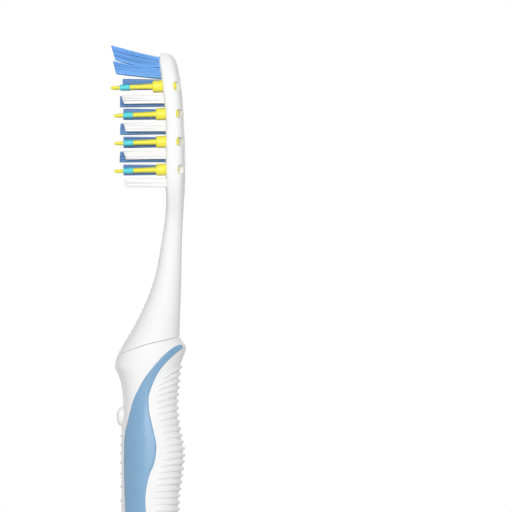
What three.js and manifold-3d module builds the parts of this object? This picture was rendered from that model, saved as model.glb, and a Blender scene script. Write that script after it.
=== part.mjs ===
// Battery-powered toothbrush with a split, flexing head.
// Millimetres. +Z runs up the brush from its base to the head, the bristles point to -X,
// the ribbed back faces +X and Y runs across. The origin is the centre of the flat base.
import * as THREE from "three";
import { mergeVertices } from "three/addons/utils/BufferGeometryUtils.js";
import Module from "manifold-3d";

const wasm = await Module();
wasm.setup();

// Clearances between neighbouring pieces, and how far a cutting solid runs past the brush
const FIT = 0.3;
const BAND_FIT = 0.2;
const BEYOND = 300;

// Handle outline: front edge, back edge and half width at each height
const HANDLE_FRONT = [[0, -6.2], [0.8, -6.7], [2.5, -6.9], [9, -7], [45, -7], [65, -6.9], [82, -6.7], [99, -6.6],
  [104.4, -6.3], [106.3, -6.36], [108.4, -6.6], [110.4, -7.05], [111.9, -7.6], [113.3, -8.3], [114.6, -8.15],
  [116.2, -7.8], [121, -6.9]];
const HANDLE_BACK = [[0, 6.2], [0.8, 6.7], [2.5, 6.9], [9, 7], [25, 7.2], [45, 7.4], [60, 7.3], [72, 6.8], [79, 6.55],
  [82.5, 6.64], [86, 7.14], [89.1, 7.5], [92.4, 7.83], [93.9, 7.74], [97.3, 7.14], [100.9, 6.55], [105.7, 6.3],
  [109, 6.55], [112.4, 6.9], [114.2, 7.3], [115.4, 7.7], [117.2, 8.4], [118.2, 8.6], [119, 8.1], [120.6, 7], [122, 6.1]];
const HANDLE_HALF = [[0, 6.2], [0.8, 6.7], [2.5, 6.9], [9, 7.1], [25, 7.6], [45, 7.9], [60, 7.9], [75, 7.8], [90, 7.9],
  [98, 7.6], [105, 7.2], [110, 7.3], [114, 7.7], [118, 7.7], [122, 7]];
const HANDLE_HEIGHTS = [0, 0.8, 2.5, 8, 25, 45, 60, 70, 79, 84, 88, 92, 96, 100, 104, 107, 109.5, 111.5, 113.3, 115,
  117.2, 118.2, 119, 120.6, 122];
const HANDLE_SQUARE = 2.3;
const HANDLE_SIDES = 24;

// Parting line between handle and neck, seen from the side
const PARTING = [[-7.76, 116.3], [-0.43, 118.9], [4.5, 120], [7, 120.6]];

// Neck and head outline: front edge, back edge, half width and squareness at each height
const NECK_FRONT = [[114, -9.2], [116.3, -7.76], [118.8, -6.4], [123.4, -3.7], [127.2, -1.8], [131.6, 0.1], [136.3, 1.5],
  [141.5, 2.45], [146.1, 3.2], [149.9, 3.67], [153.8, 3.8], [156.2, 3.71], [167.4, 3.67], [175, 3.5], [177.6, 3.1],
  [182.1, 2.6], [187.1, 1.9], [188, 2.1]];
const NECK_BACK = [[114, 7.2], [120.5, 7], [125, 7.1], [130.5, 7.3], [136, 7.43], [142.5, 7.55], [148.8, 7.83],
  [152.4, 8.05], [156.2, 8.3], [163.9, 8.36], [170.3, 8.2], [175, 7.9], [179.1, 7.6], [182.7, 7.1], [185.8, 6.4],
  [187.4, 5.3], [188, 4.3]];
const NECK_HALF = [[114, 7.9], [117, 7.7], [121, 6.9], [126, 5.4], [132, 4], [138, 3.1], [143, 2.8], [147, 2.9],
  [150, 3.7], [153.5, 5.3], [156, 6.35], [159, 6.75], [164, 6.9], [178, 6.9], [182, 6.6], [185, 5.9], [187, 4.9], [188, 3.6]];
const NECK_FRONT_SQUARE = [[114, 2.3], [130, 2.2], [145, 2.4], [152, 3.5], [157, 6], [188, 6]];
const NECK_BACK_SQUARE = [[114, 2.3], [145, 2.3], [157, 2.8], [188, 2.8]];
const NECK_HEIGHTS = [114, 117, 120.5, 124, 128, 132, 137, 142, 146, 149, 152, 155, 157.5, 160, 165, 171, 176, 180,
  183, 185.3, 186.8, 187.6, 188];
const NECK_SIDES = 24;

// Flex joint of the two head halves, under the lowest pins
const FLEX_DROP = 5.9;
const FLEX_R = 2.1;

// Winding gap between the halves: [height, middle, half width], and the straight slot it ends in
const GAP_LINE = [[189, -0.75, 0.75], [184.4, -0.7, 0.75], [181.3, 1.25, 0.6], [179, 1.25, 0.55], [176.2, -1.25, 0.5],
  [173.4, -1.25, 0.5], [170.9, 1.25, 0.5], [168.4, 1.25, 0.5], [165.6, -1.25, 0.5], [162.8, -1.25, 0.45],
  [160.2, 0.8, 0.4], [158.4, 0.8, 0.35]];
const SLOT_HALF = 0.3;
const SLOT_DEPTH = 3.1;
const GAP_STEPS = 32;

// Elastomer pins, their feet and the windows the feet show in
const PIN_TOP_DROP = 7.8;
const PIN_PITCH = 6.6;
const PIN_COUNT = 4;
const PIN_Y = 5.35;
const PIN_STEM_R = 0.65;
const PIN_COLLAR_R = 1.35;
const PIN_COLLAR_LENGTH = 2.1;
const PIN_BLADE_LENGTH = 5.1;
const PIN_LENGTH = 12;
const PIN_CORE_R = 0.42;
const FOOT_DEPTH = 2.6;
const FOOT_SIZE = [1.2, 1.5, 1.55];
const WINDOW_LENGTH = 2.2;
const BAND_LENGTH = 2.2;
const BAND_WALL = 0.25;
const PIN_SIDES = 8;

// Tufts: rows of strands on a slice of the head's face
const SLICE_DEPTH = 0.7;
const STRAND_R = 0.22;
const STRAND_PITCH = 0.5;
const STRAND_TAPER = 2.2;
const OUTER_LENGTH = 9.9;
const OUTER_WIDTH = 1.6;
const INNER_LENGTH = 10.2;
const INNER_Y = 3;
const INNER_WIDTH = 1.2;
const TIP_LENGTH = 11.4;
const TIP_RISE = [2.2, 1.4];
const TIP_ABOVE_PIN = [5, 2.7];
const TIP_INNER_Y = 2.6;
const TIP_WIDTH = 1.9;

// Power button and switch
const BUTTON_DROP = 17.5;
const BUTTON_HEIGHT = 5.2;
const BUTTON_WIDTH = 4;
const BUTTON_PROUD = 1.4;
const BUTTON_TRAVEL = 0.6;
const SWITCH_SIZE = 4.2;
const SWITCH_DEPTH = 2.6;
const PLUNGER_R = 0.9;
const PLUNGER_SUNK = 0.5;
const BUTTON_DEPTH = 2.2;

// Grips let into the handle
const GRIP_THICK = 0.7;
const GRIP_FRONT_Y = 3.3;
const GRIP_BACK_Y = 1;
const RIB_PITCH = 1.6;
const RIB_PROUD = 0.4;
const RIB_SLOPE = 0.3;
const PAD_WIDTH = 3;
const PAD_LENGTH = 30;
const PAD_GAP = 1.2;
const PAD_BUMP_PITCH = 2.4;
const PAD_BUMP_R = 0.6;
const GRIP_EDGE = [[7.07, 119], [3.3, 116.3], [1, 113.7], [-1, 111.2], [-2.8, 108], [-4, 105.2], [-4.9, 101.7],
  [-5.8, 98], [-6.05, 94.9], [-6.1, 90.7], [-6.05, 86.8], [-5.9, 81.8], [-5.6, 74], [-5, 66], [-4, 58], [-2.6, 51.5],
  [-1.2, 49], [-0.2, 50.8], [0.9, 55.5], [1.5, 61], [1.2, 66.5], [0.3, 71.5], [-0.8, 77], [-1, 82.2], [-0.5, 85.9],
  [0.3, 88.5], [1.1, 90.5], [1.64, 92.9], [1.6, 94.9], [1, 98], [0.33, 100.9], [-0.3, 104.8], [-0.2, 106.8],
  [0.24, 108.7], [1, 110.5], [2.2, 112.7], [4.05, 114.8], [6.3, 116.8], [9.2, 118]];
const REAR_EDGE = [[12, 115.3], [4.8, 112.7], [3.1, 110.6], [2, 108.9], [1.45, 107.3], [1.3, 105.9], [1.4, 104.3],
  [1.8, 101.5], [2.4, 99.9], [3.1, 96.7], [3.3, 95.1], [3.1, 91.7], [2.05, 88.4], [1, 85], [0.86, 83.5], [1.2, 79],
  [2.3, 74], [3.2, 69], [3.7, 65], [4.6, 60.6], [12, 61.4]];

// Cell, its bay, the contacts and the cap
const CELL_R = 5.1;
const CELL_LENGTH = 43.5;
const CELL_GAP = 2.2;
const CELL_NUB_R = 1.9;
const CELL_NUB_LENGTH = 0.9;
const SEAL_THICK = 0.5;
const BAY_CLEARANCE = 0.5;
const CAP_HEIGHT = 9;
const CAP_PLUG_LENGTH = 4;
const CAP_FLOOR_Z = 4;
const CAP_HOLLOW_R = 3.7;
const RING_WIRE_R = 0.3;
const PLATE_THICK = 0.5;
const SPRING_R = 2.8;
const SPRING_WIRE_R = 0.3;
const SPRING_TURNS = 4;
const STRIP_THICK = 0.3;
const STRIP_WIDTH = 2;
const LEAD_WIDTH = 1.4;
const CONTACT_R = 3;
const CONTACT_GAP = 2;

// Motor, weight and the chassis in the upper bay
const MOTOR_X = 0.3;
const MOTOR_R = 3;
const MOTOR_LENGTH = 11.5;
const MOTOR_DROP = 0.9;
const BELL_LENGTH = 1.4;
const SLEEVE_WALL = 0.4;
const SHAFT_R = 0.5;
const WEIGHT_R = 2.3;
const WEIGHT_LENGTH = 3.6;
const SHAFT_SUNK = 3;
const WEIGHT_GAP = 1.2;
const WEIGHT_WEB = 0.6;
const CHASSIS_GAP = 1.5;
const CHASSIS_FLOOR = 2;
const CHASSIS_BACK = 0.5;

// Smooth lookup of a table by height
function along(table, column = 1) {
  const track = new THREE.CubicInterpolant(table.map((row) => row[0]), table.map((row) => row[column]), 1);
  return (height) => track.evaluate(height)[0];
}

// Closed solid from a three.js geometry
function solid(geometry) {
  geometry.deleteAttribute("normal");
  geometry.deleteAttribute("uv");
  const merged = mergeVertices(geometry, 1e-4);
  return new wasm.Manifold(new wasm.Mesh({
    numProp: 3,
    vertProperties: new Float32Array(merged.attributes.position.array),
    triVerts: new Uint32Array(merged.index.array),
  }));
}

// Closed solid from points and faces, turned so that it faces out
function shelled(points, faces) {
  const volume = faces.reduce((sum, [a, b, c]) => sum + points[a].dot(points[b].clone().cross(points[c])), 0);
  const geometry = new THREE.BufferGeometry().setFromPoints(points);
  geometry.setIndex(faces.flatMap(([a, b, c]) => (volume > 0 ? [a, b, c] : [a, c, b])));
  return solid(geometry);
}

// End face of a loft, wound with its ring or against it
const fromTop = (p) => new THREE.Vector2(p.x, p.y);
const fromFront = (p) => new THREE.Vector2(p.y, p.z);
function endFaces(ring, view, offset, way) {
  const flat = ring.map(view);
  const wanted = way * Math.sign(THREE.ShapeUtils.area(flat));
  return THREE.ShapeUtils.triangulateShape(flat, []).map((face) => {
    const [a, b, c] = face.map((i) => i + offset);
    return Math.sign(THREE.ShapeUtils.area(face.map((i) => flat[i]))) === wanted ? [a, b, c] : [a, c, b];
  });
}

// Loft through rings of equal length, closed at both ends
function loft(rings, view) {
  const count = rings[0].length;
  const last = (rings.length - 1) * count;
  const faces = [...endFaces(rings[0], view, 0, -1), ...endFaces(rings[rings.length - 1], view, last, 1)];
  for (let i = 0; i < count; i += 1) {
    const j = (i + 1) % count;
    for (let k = 0; k < last; k += count) {
      faces.push([k + i, k + j, k + count + i], [k + j, k + count + j, k + count + i]);
    }
  }
  return shelled(rings.flat(), faces);
}

// Cross section of the handle or neck: squarish round, with its own squareness in front and behind
function section(z, front, back, half, frontSquare, backSquare, sides) {
  return Array.from({ length: sides }, (_, i) => {
    const turn = (i / sides) * Math.PI * 2;
    const c = Math.cos(turn);
    const s = Math.sin(turn);
    const power = 2 / (c < 0 ? frontSquare : backSquare);
    const x = (front + back) / 2 + ((back - front) / 2) * Math.sign(c) * Math.abs(c) ** power;
    return new THREE.Vector3(x, half * Math.sign(s) * Math.abs(s) ** power, z);
  });
}

// Ring across X for pins, strands and the button
function ringX(x, y, z, halfY, halfZ, sides) {
  return Array.from({ length: sides }, (_, i) => {
    const turn = (i / sides) * Math.PI * 2;
    return new THREE.Vector3(x, y + halfY * Math.cos(turn), z + halfZ * Math.sin(turn));
  });
}

const box = (x0, x1, y0, y1, z0, z1) => solid(new THREE.BoxGeometry(x1 - x0, y1 - y0, z1 - z0)
  .translate((x0 + x1) / 2, (y0 + y1) / 2, (z0 + z1) / 2));
const rod = (x, y, radius, z0, z1, sides = 20) => solid(new THREE.CylinderGeometry(radius, radius, z1 - z0, sides)
  .rotateX(Math.PI / 2).translate(x, y, (z0 + z1) / 2));

// Side-view outline [x, z] run across the brush from y0 to y1
function sideways(outline, y0, y1) {
  const shape = new THREE.Shape(outline.map(([x, z]) => new THREE.Vector2(x, z)));
  return solid(new THREE.ExtrudeGeometry(shape, { depth: y1 - y0, bevelEnabled: false })
    .rotateX(Math.PI / 2).translate(0, y1, 0));
}

// Outline moved outwards by a distance, point by point
function grown(outline, distance) {
  const turn = THREE.ShapeUtils.area(outline.map(([x, z]) => ({ x, y: z }))) > 0 ? 1 : -1;
  return outline.map(([x, z], i) => {
    const [px, pz] = outline[(i + outline.length - 1) % outline.length];
    const [nx, nz] = outline[(i + 1) % outline.length];
    const length = Math.hypot(nx - px, nz - pz);
    return [x + (turn * distance * (nz - pz)) / length, z - (turn * distance * (nx - px)) / length];
  });
}

// Handle body, drawn in from its skin by a distance
const handleFront = along(HANDLE_FRONT);
const handleBack = along(HANDLE_BACK);
const handleHalf = along(HANDLE_HALF);
const handleBody = (inset) => loft(HANDLE_HEIGHTS.map((z) => section(
  z, handleFront(z) + inset, handleBack(z) - inset, handleHalf(z) - inset, HANDLE_SQUARE, HANDLE_SQUARE,
  HANDLE_SIDES)), fromTop);

// Neck and head body before it is split
const neckFront = along(NECK_FRONT);
const neckBack = along(NECK_BACK);
const neckHalf = along(NECK_HALF);
const frontSquare = along(NECK_FRONT_SQUARE);
const backSquare = along(NECK_BACK_SQUARE);
const neckBody = loft(NECK_HEIGHTS.map((z) => section(
  z, neckFront(z), neckBack(z), neckHalf(z), frontSquare(z), backSquare(z), NECK_SIDES)), fromTop);

// Everything on one side of the parting line
function partingSide(direction) {
  const line = PARTING.map(([x, z]) => [x, z + (direction * FIT) / 2]);
  const slopeIn = (line[1][1] - line[0][1]) / (line[1][0] - line[0][0]);
  const slopeOut = (line[3][1] - line[2][1]) / (line[3][0] - line[2][0]);
  const start = [-BEYOND, line[0][1] + slopeIn * (-BEYOND - line[0][0])];
  const end = [BEYOND, line[3][1] + slopeOut * (BEYOND - line[3][0])];
  const far = direction * 2 * BEYOND;
  return sideways([start, ...line, end, [BEYOND, far], [-BEYOND, far]], -BEYOND, BEYOND);
}
const partingHeight = along(PARTING);

// Heights of the pins, of the tufts between them and of the flex joint
const headTop = NECK_HEIGHTS[NECK_HEIGHTS.length - 1];
const pinHeights = Array.from({ length: PIN_COUNT }, (_, i) => headTop - PIN_TOP_DROP - i * PIN_PITCH);
const tuftHeights = pinHeights.map((z) => z - PIN_PITCH / 2);
const tipHeights = TIP_ABOVE_PIN.map((rise) => pinHeights[0] + rise);
const tuftHalf = STRAND_PITCH * 1.5 + STRAND_R + 0.1;
const flexZ = pinHeights[PIN_COUNT - 1] - FLEX_DROP;

// Front-view outline [y, z] run through the brush from x0 to x1
const acrossX = new THREE.Matrix4().makeBasis(
  new THREE.Vector3(0, 1, 0), new THREE.Vector3(0, 0, 1), new THREE.Vector3(1, 0, 0));
function through(outline, x0, x1) {
  const shape = new THREE.Shape(outline.map(([y, z]) => new THREE.Vector2(y, z)));
  return solid(new THREE.ExtrudeGeometry(shape, { depth: x1 - x0, bevelEnabled: false })
    .applyMatrix4(acrossX).translate(x0, 0, 0));
}

// Winding gap between the head halves with its round-ended slot, and the space on either side of it
const slotEnd = flexZ - SLOT_DEPTH;
const gapLine = [...GAP_LINE, [flexZ + FLEX_R, 0, SLOT_HALF], [slotEnd, 0, SLOT_HALF]];
const gapHalf = along([...gapLine].reverse(), 2);
const gapPoints = new THREE.SplineCurve(gapLine.map(([z, y]) => new THREE.Vector2(z, y))).getPoints(GAP_STEPS);
const gapEdge = (side) => gapPoints.map((p) => [p.y + side * gapHalf(p.x), p.x]);
const slotRound = Array.from({ length: 7 }, (_, i) => {
  const turn = (-(i + 1) * Math.PI) / 8;
  return [SLOT_HALF * Math.cos(turn), slotEnd + SLOT_HALF * Math.sin(turn)];
});
const gap = through([...gapEdge(1), ...slotRound, ...gapEdge(-1).reverse()], -BEYOND, BEYOND);
const gapSide = (side) => through(
  [...gapEdge(side), [side * BEYOND, slotEnd], [side * BEYOND, gapLine[0][0]]], -BEYOND, BEYOND);

const flexX = (neckFront(flexZ) + neckBack(flexZ)) / 2;
const knuckle = (radius) => solid(new THREE.CylinderGeometry(radius, radius, BEYOND, 20)
  .translate(flexX, 0, flexZ));
const aboveFlex = box(-BEYOND, BEYOND, -BEYOND, BEYOND, flexZ, BEYOND);

// Slab under the head's face, with a bend of the face only where no strand stands
function faceSlab(over, under) {
  const count = 2 * PIN_COUNT + 3;
  const steps = Array.from({ length: count }, (_, i) => pinHeights[0] + PIN_PITCH * (0.25 + (i - count + 3) / 2));
  const front = steps.map((z) => [neckFront(z) - over, z]);
  const rear = steps.map((z) => [neckFront(z) + under, z]).reverse();
  return sideways([...front, ...rear], -BEYOND, BEYOND);
}

// Slices of the face under the outer and the inner tufts of one half; grow leaves the fit round them
function slice(side, grow, parts) {
  const blocks = parts.map(([y0, y1, z0, z1]) => (side > 0
    ? box(-BEYOND, BEYOND, y0 - grow, y1 + grow, z0 - grow, z1 + grow)
    : box(-BEYOND, BEYOND, -y1 - grow, -y0 + grow, z0 - grow, z1 + grow)));
  return wasm.Manifold.union(blocks).intersect(faceSlab(grow > 0 ? 2 : 0, SLICE_DEPTH + grow));
}
function outerSlice(side, grow) {
  const railInner = INNER_Y + INNER_WIDTH / 2 + FIT;
  const railOuter = PIN_Y - PIN_STEM_R - FIT;
  const bottom = tuftHeights[PIN_COUNT - 1] - tuftHalf;
  return slice(side, grow, [
    [railInner, railOuter, bottom, tuftHeights[0] + tuftHalf],
    ...tuftHeights.map((z) => [railInner, railInner + OUTER_WIDTH + 0.4, z - tuftHalf, z + tuftHalf]),
  ]);
}
function innerSlice(side, grow) {
  const inner = INNER_Y - INNER_WIDTH / 2;
  return slice(side, grow, [
    [inner, INNER_Y + INNER_WIDTH / 2, pinHeights[PIN_COUNT - 1] - tuftHalf, tipHeights[0]],
    [inner, TIP_INNER_Y + TIP_WIDTH + 0.2, tipHeights[1] - tuftHalf, tipHeights[0] + tuftHalf],
  ]);
}

// Strands of one tuft in even rows: three-sided spikes that lean up by a rise, cut off level
function tuft(y, z, rowsY, rowsZ, pitchY, length, rise) {
  const strands = [];
  const root = neckFront(z) + SLICE_DEPTH / 2;
  const tip = neckFront(z) - length;
  for (let row = 0; row < rowsY * rowsZ; row += 1) {
    const py = y + ((row % rowsY) - (rowsY - 1) / 2) * pitchY;
    const pz = z + (Math.floor(row / rowsY) - (rowsZ - 1) / 2) * STRAND_PITCH;
    const apex = new THREE.Vector3(root + (tip - root) * STRAND_TAPER, py, pz + rise * STRAND_TAPER);
    strands.push(shelled(
      [...ringX(root, py, pz, STRAND_R, STRAND_R, 3), apex], [[0, 2, 1], [0, 1, 3], [1, 2, 3], [2, 0, 3]]));
  }
  return wasm.Manifold.union(strands).subtract(box(-BEYOND, tip, -BEYOND, BEYOND, -BEYOND, BEYOND));
}

// One half of the head with its pockets, stem holes and windows
function headHalf(side) {
  const cuts = [outerSlice(side, FIT), innerSlice(side, FIT)];
  for (const z of pinHeights) {
    const face = neckFront(z);
    const inner = side * (PIN_Y - PIN_STEM_R - 0.15);
    const hole = new THREE.CylinderGeometry(PIN_STEM_R + FIT, PIN_STEM_R + FIT, FOOT_DEPTH + 2, 10)
      .rotateZ(Math.PI / 2).translate(face + FOOT_DEPTH / 2 - 0.7, side * PIN_Y, z);
    const halfZ = FOOT_SIZE[2] / 2 + FIT;
    const x0 = face + FOOT_DEPTH - FIT;
    const x1 = x0 + WINDOW_LENGTH;
    const bend = 0.55;
    const window = new THREE.Shape();
    window.moveTo(x0 + bend, z - halfZ);
    window.lineTo(x1 - bend, z - halfZ);
    window.absarc(x1 - bend, z - halfZ + bend, bend, -Math.PI / 2, 0, false);
    window.absarc(x1 - bend, z + halfZ - bend, bend, 0, Math.PI / 2, false);
    window.absarc(x0 + bend, z + halfZ - bend, bend, Math.PI / 2, Math.PI, false);
    window.absarc(x0 + bend, z - halfZ + bend, bend, Math.PI, Math.PI * 1.5, false);
    const pocket = new THREE.ExtrudeGeometry(window, { depth: BEYOND, bevelEnabled: false, curveSegments: 2 })
      .rotateX(Math.PI / 2).translate(0, side > 0 ? inner - FIT + BEYOND : inner + FIT, 0);
    cuts.push(solid(hole), solid(pocket));
  }
  const root = knuckle(FLEX_R).add(aboveFlex).intersect(neckBody);
  return root.intersect(gapSide(side)).subtract(wasm.Manifold.union(cuts));
}

// Pin with its collar, blade, core, stem and foot, standing on the face at x = 0 and pointing to -X
function pin() {
  const bladeEnd = -FIT - PIN_COLLAR_LENGTH - PIN_BLADE_LENGTH;
  const collarEnd = -FIT - PIN_COLLAR_LENGTH;
  const stations = [
    [FOOT_DEPTH + 0.4, PIN_STEM_R, PIN_STEM_R],
    [-FIT, PIN_STEM_R, PIN_STEM_R],
    [-FIT, PIN_COLLAR_R, PIN_COLLAR_R],
    [collarEnd + 0.6, PIN_COLLAR_R, PIN_COLLAR_R],
    [collarEnd + 0.2, PIN_COLLAR_R * 0.85, PIN_COLLAR_R * 0.82],
    [collarEnd, PIN_COLLAR_R * 0.78, PIN_COLLAR_R * 0.56],
    [bladeEnd * 0.65, PIN_COLLAR_R * 0.63, PIN_COLLAR_R * 0.52],
    [bladeEnd, PIN_CORE_R * 1.5, PIN_CORE_R * 1.45],
    [bladeEnd, PIN_CORE_R, PIN_CORE_R],
    [-PIN_LENGTH, PIN_CORE_R * 0.6, PIN_CORE_R * 0.6],
  ];
  const shaft = loft(stations.map(([x, halfY, halfZ]) => ringX(x, 0, 0, halfY, halfZ, PIN_SIDES)), fromFront);
  const inner = -PIN_STEM_R - 0.15;
  const foot = box(FOOT_DEPTH, FOOT_DEPTH + FOOT_SIZE[0], inner, inner + FOOT_SIZE[1],
    -FOOT_SIZE[2] / 2, FOOT_SIZE[2] / 2);
  return shaft.add(foot);
}
function band() {
  const start = -2 * FIT - PIN_COLLAR_LENGTH - PIN_BLADE_LENGTH;
  const bore = PIN_CORE_R + BAND_FIT;
  const sleeve = loft([
    ringX(start, 0, 0, bore + BAND_WALL + 0.1, bore + BAND_WALL, PIN_SIDES),
    ringX(start - BAND_LENGTH, 0, 0, bore + BAND_WALL, bore + BAND_WALL - 0.05, PIN_SIDES),
  ], fromFront);
  return sleeve.subtract(loft([
    ringX(start + 1, 0, 0, bore, bore, PIN_SIDES),
    ringX(start - BAND_LENGTH - 1, 0, 0, bore, bore, PIN_SIDES),
  ], fromFront));
}

// Group the meshes go in, and what puts one there
const brush = new THREE.Group();
brush.name = "toothbrush";
function group(name) {
  const made = new THREE.Group();
  made.name = name;
  brush.add(made);
  return made;
}
function piece(parent, name, made, color, roughness, metalness) {
  const mesh = made.getMesh();
  const geometry = new THREE.BufferGeometry();
  geometry.setAttribute("position", new THREE.BufferAttribute(new Float32Array(mesh.vertProperties), 3));
  geometry.setIndex(new THREE.BufferAttribute(new Uint32Array(mesh.triVerts), 1));
  geometry.computeVertexNormals();
  const node = new THREE.Mesh(geometry, new THREE.MeshStandardMaterial({ color, roughness, metalness }));
  node.name = name;
  parent.add(node);
  return node;
}

const WHITE = 0xf4f5f6;
const SOFT_WHITE = 0xeceef0;
const GRIP_BLUE = 0x87afd7;
const TUFT_BLUE = 0x4a86c8;
const YELLOW = 0xf6e83a;
const CYAN = 0x4bc8d6;
const GREY = 0x9aa0a6;
const STEEL = 0xc6c9cc;
const COPPER = 0xc9a36a;
const BLACK = 0x24262a;

// Head halves with their tufts and pins
const heads = [["left", -1], ["right", 1]];
for (const [name, side] of heads) {
  const head = group(`${name}_head`);
  piece(head, `${name}_head_half`, headHalf(side), WHITE, 0.35, 0);

  const outer = tuftHeights.map((z) => tuft(
    side * (INNER_Y + INNER_WIDTH / 2 + FIT + 0.2 + OUTER_WIDTH / 2), z, 4, 4, OUTER_WIDTH / 3.8, OUTER_LENGTH, 0));
  piece(head, `${name}_white_tufts`, wasm.Manifold.union([outerSlice(side, 0), ...outer]), WHITE, 0.6, 0);

  const inner = [...pinHeights, ...tuftHeights.slice(0, -1)].map((z) => tuft(
    side * INNER_Y, z, 3, 4, INNER_WIDTH / 3, INNER_LENGTH, 0));
  const tip = tipHeights.map((z, i) => tuft(
    side * (TIP_INNER_Y + TIP_WIDTH / 2), z, 5, 4, TIP_WIDTH / 4.8, TIP_LENGTH, TIP_RISE[i]));
  piece(head, `${name}_blue_tufts`, wasm.Manifold.union([innerSlice(side, 0), ...inner, ...tip]), TUFT_BLUE, 0.6, 0);

  pinHeights.forEach((z, i) => {
    const seat = new THREE.Group();
    seat.name = `${name}_pin_seat_${i + 1}`;
    seat.position.set(neckFront(z), side * PIN_Y, z);
    seat.rotation.x = side > 0 ? 0 : Math.PI;
    head.add(seat);
    piece(seat, `${name}_pin_${i + 1}`, pin(), YELLOW, 0.5, 0);
    piece(seat, `${name}_pin_band_${i + 1}`, band(), CYAN, 0.5, 0);
  });
}

// Neck, with the seat of the two halves on top and a pocket for the motor's weight below
const body = group("handle");
const motorTop = partingHeight(MOTOR_X) - MOTOR_DROP;
const motorBottom = motorTop - MOTOR_LENGTH;
const weightBottom = motorTop + WEIGHT_GAP;
const weightTop = weightBottom + WEIGHT_LENGTH;
const neck = neckBody.intersect(partingSide(1))
  .subtract(aboveFlex).subtract(knuckle(FLEX_R + FIT)).subtract(gap)
  .subtract(rod(MOTOR_X, 0, MOTOR_R + SLEEVE_WALL + 2 * FIT, motorBottom, motorTop + 2 * FIT))
  .subtract(rod(MOTOR_X, 0, WEIGHT_R + 2 * FIT, motorBottom, weightTop + FIT));
piece(body, "neck_shell", neck, WHITE, 0.35, 0);

// Handle shell: skin, bays, strip groove, button hole and the recesses of the grips
const bayR = CELL_R + BAY_CLEARANCE;
const plugTop = CAP_HEIGHT + CAP_PLUG_LENGTH;
const cellBottom = plugTop + CELL_GAP;
const cellTop = cellBottom + CELL_LENGTH;
const bayTop = cellTop + CELL_NUB_LENGTH + CONTACT_GAP;
const upperBayR = MOTOR_R + SLEEVE_WALL + 2 * FIT;
const skin = handleBody(0);
const bed = handleBody(GRIP_THICK + FIT);
const core = handleBody(GRIP_THICK);
const buttonZ = partingHeight(MOTOR_X) - BUTTON_DROP;
const padTop = buttonZ - BUTTON_HEIGHT / 2 - PAD_GAP;
const padBottom = padTop - PAD_LENGTH;
const chassisR = upperBayR - FIT;
const chassisFace = MOTOR_X + CHASSIS_BACK;
const stripX1 = chassisFace - FIT;
const stripX0 = stripX1 - STRIP_WIDTH;
const stripY = bayR + FIT / 2;
const stripTop = bayTop + CHASSIS_GAP + CHASSIS_FLOOR;
const stripInner = chassisR - FIT;
function buttonBody(grow, back, frontPast) {
  const front = handleFront(buttonZ) - BUTTON_PROUD - frontPast;
  const scale = frontPast > 0 ? [1, 1, 1, 1] : [0.45, 0.75, 0.92, 1];
  const stations = [front, front + 0.2, front + 0.6, front + 1.1].map((x, i) => [x, scale[i]]);
  return loft([...stations, [back, 1]].map(([x, part]) => ringX(
    x, 0, buttonZ, part * (BUTTON_WIDTH / 2) + grow, part * (BUTTON_HEIGHT / 2) + grow, 16)), fromFront);
}
const gripSides = [["left", -BEYOND, -GRIP_BACK_Y], ["right", GRIP_BACK_Y, BEYOND]];
const gripRegion = (y0, y1, grow) => sideways(grown(GRIP_EDGE, grow), y0 - grow, y1 + grow)
  .subtract(box(-BEYOND, -GRIP_FRONT_Y, grow - GRIP_FRONT_Y, GRIP_FRONT_Y - grow, 0, BEYOND));
const padBox = (grow) => box(
  -BEYOND, -GRIP_FRONT_Y, -PAD_WIDTH / 2 - grow, PAD_WIDTH / 2 + grow, padBottom - grow, padTop + grow);
let shell = skin.intersect(partingSide(-1))
  .subtract(box(-BEYOND, BEYOND, -BEYOND, BEYOND, -BEYOND, CAP_HEIGHT + FIT / 2));
for (const [, y0, y1] of gripSides) {
  shell = shell.subtract(gripRegion(y0, y1, FIT).subtract(bed));
}
shell = shell.subtract(sideways(grown(REAR_EDGE, FIT), -BEYOND, BEYOND).subtract(bed))
  .subtract(padBox(FIT).subtract(bed))
  .subtract(rod(0, 0, bayR, 0, bayTop, 24))
  .subtract(rod(MOTOR_X, 0, upperBayR, bayTop - FIT, BEYOND))
  .subtract(box(stripX0 - FIT, stripX1 + FIT, stripInner - FIT, stripY + STRIP_THICK + FIT,
    CAP_HEIGHT, stripTop + STRIP_THICK + FIT))
  .subtract(buttonBody(FIT, 0, BUTTON_DEPTH));
piece(body, "handle_shell", shell, WHITE, 0.4, 0);

// Side grips, rear grip with its ribs and thumb pad with its bumps
for (const [name, y0, y1] of gripSides) {
  piece(body, `${name}_grip`, gripRegion(y0, y1, 0).intersect(skin).subtract(core), GRIP_BLUE, 0.7, 0);
}
const rearInner = along(REAR_EDGE.slice(1, -1).map(([x, z]) => [z, x]).reverse());
function rearRing(backZ, proud) {
  const arc = (inset, count) => Array.from({ length: count }, (_, i) => {
    let z = backZ;
    let point;
    for (let round = 0; round < 4; round += 1) {
      const middle = (handleFront(z) + handleBack(z)) / 2;
      const half = handleBack(z) - inset - middle;
      const reach = Math.max(0, (rearInner(z) - middle) / half);
      const turn = Math.acos(reach ** (HANDLE_SQUARE / 2)) * ((2 * i) / (count - 1) - 1);
      const across = Math.sign(turn) * Math.abs(Math.sin(turn)) ** (2 / HANDLE_SQUARE);
      const x = middle + half * Math.cos(turn) ** (2 / HANDLE_SQUARE);
      z = backZ - RIB_SLOPE * (handleBack(backZ) - x);
      point = new THREE.Vector3(x, (handleHalf(z) - inset) * across, z);
    }
    return point;
  });
  return [...arc(-proud, 9), ...arc(GRIP_THICK, 7).reverse()];
}
const ribRings = [];
const rearTop = REAR_EDGE[1][1] + RIB_PITCH / 2;
const rearBottom = REAR_EDGE[REAR_EDGE.length - 2][1] + RIB_PITCH;
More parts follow.
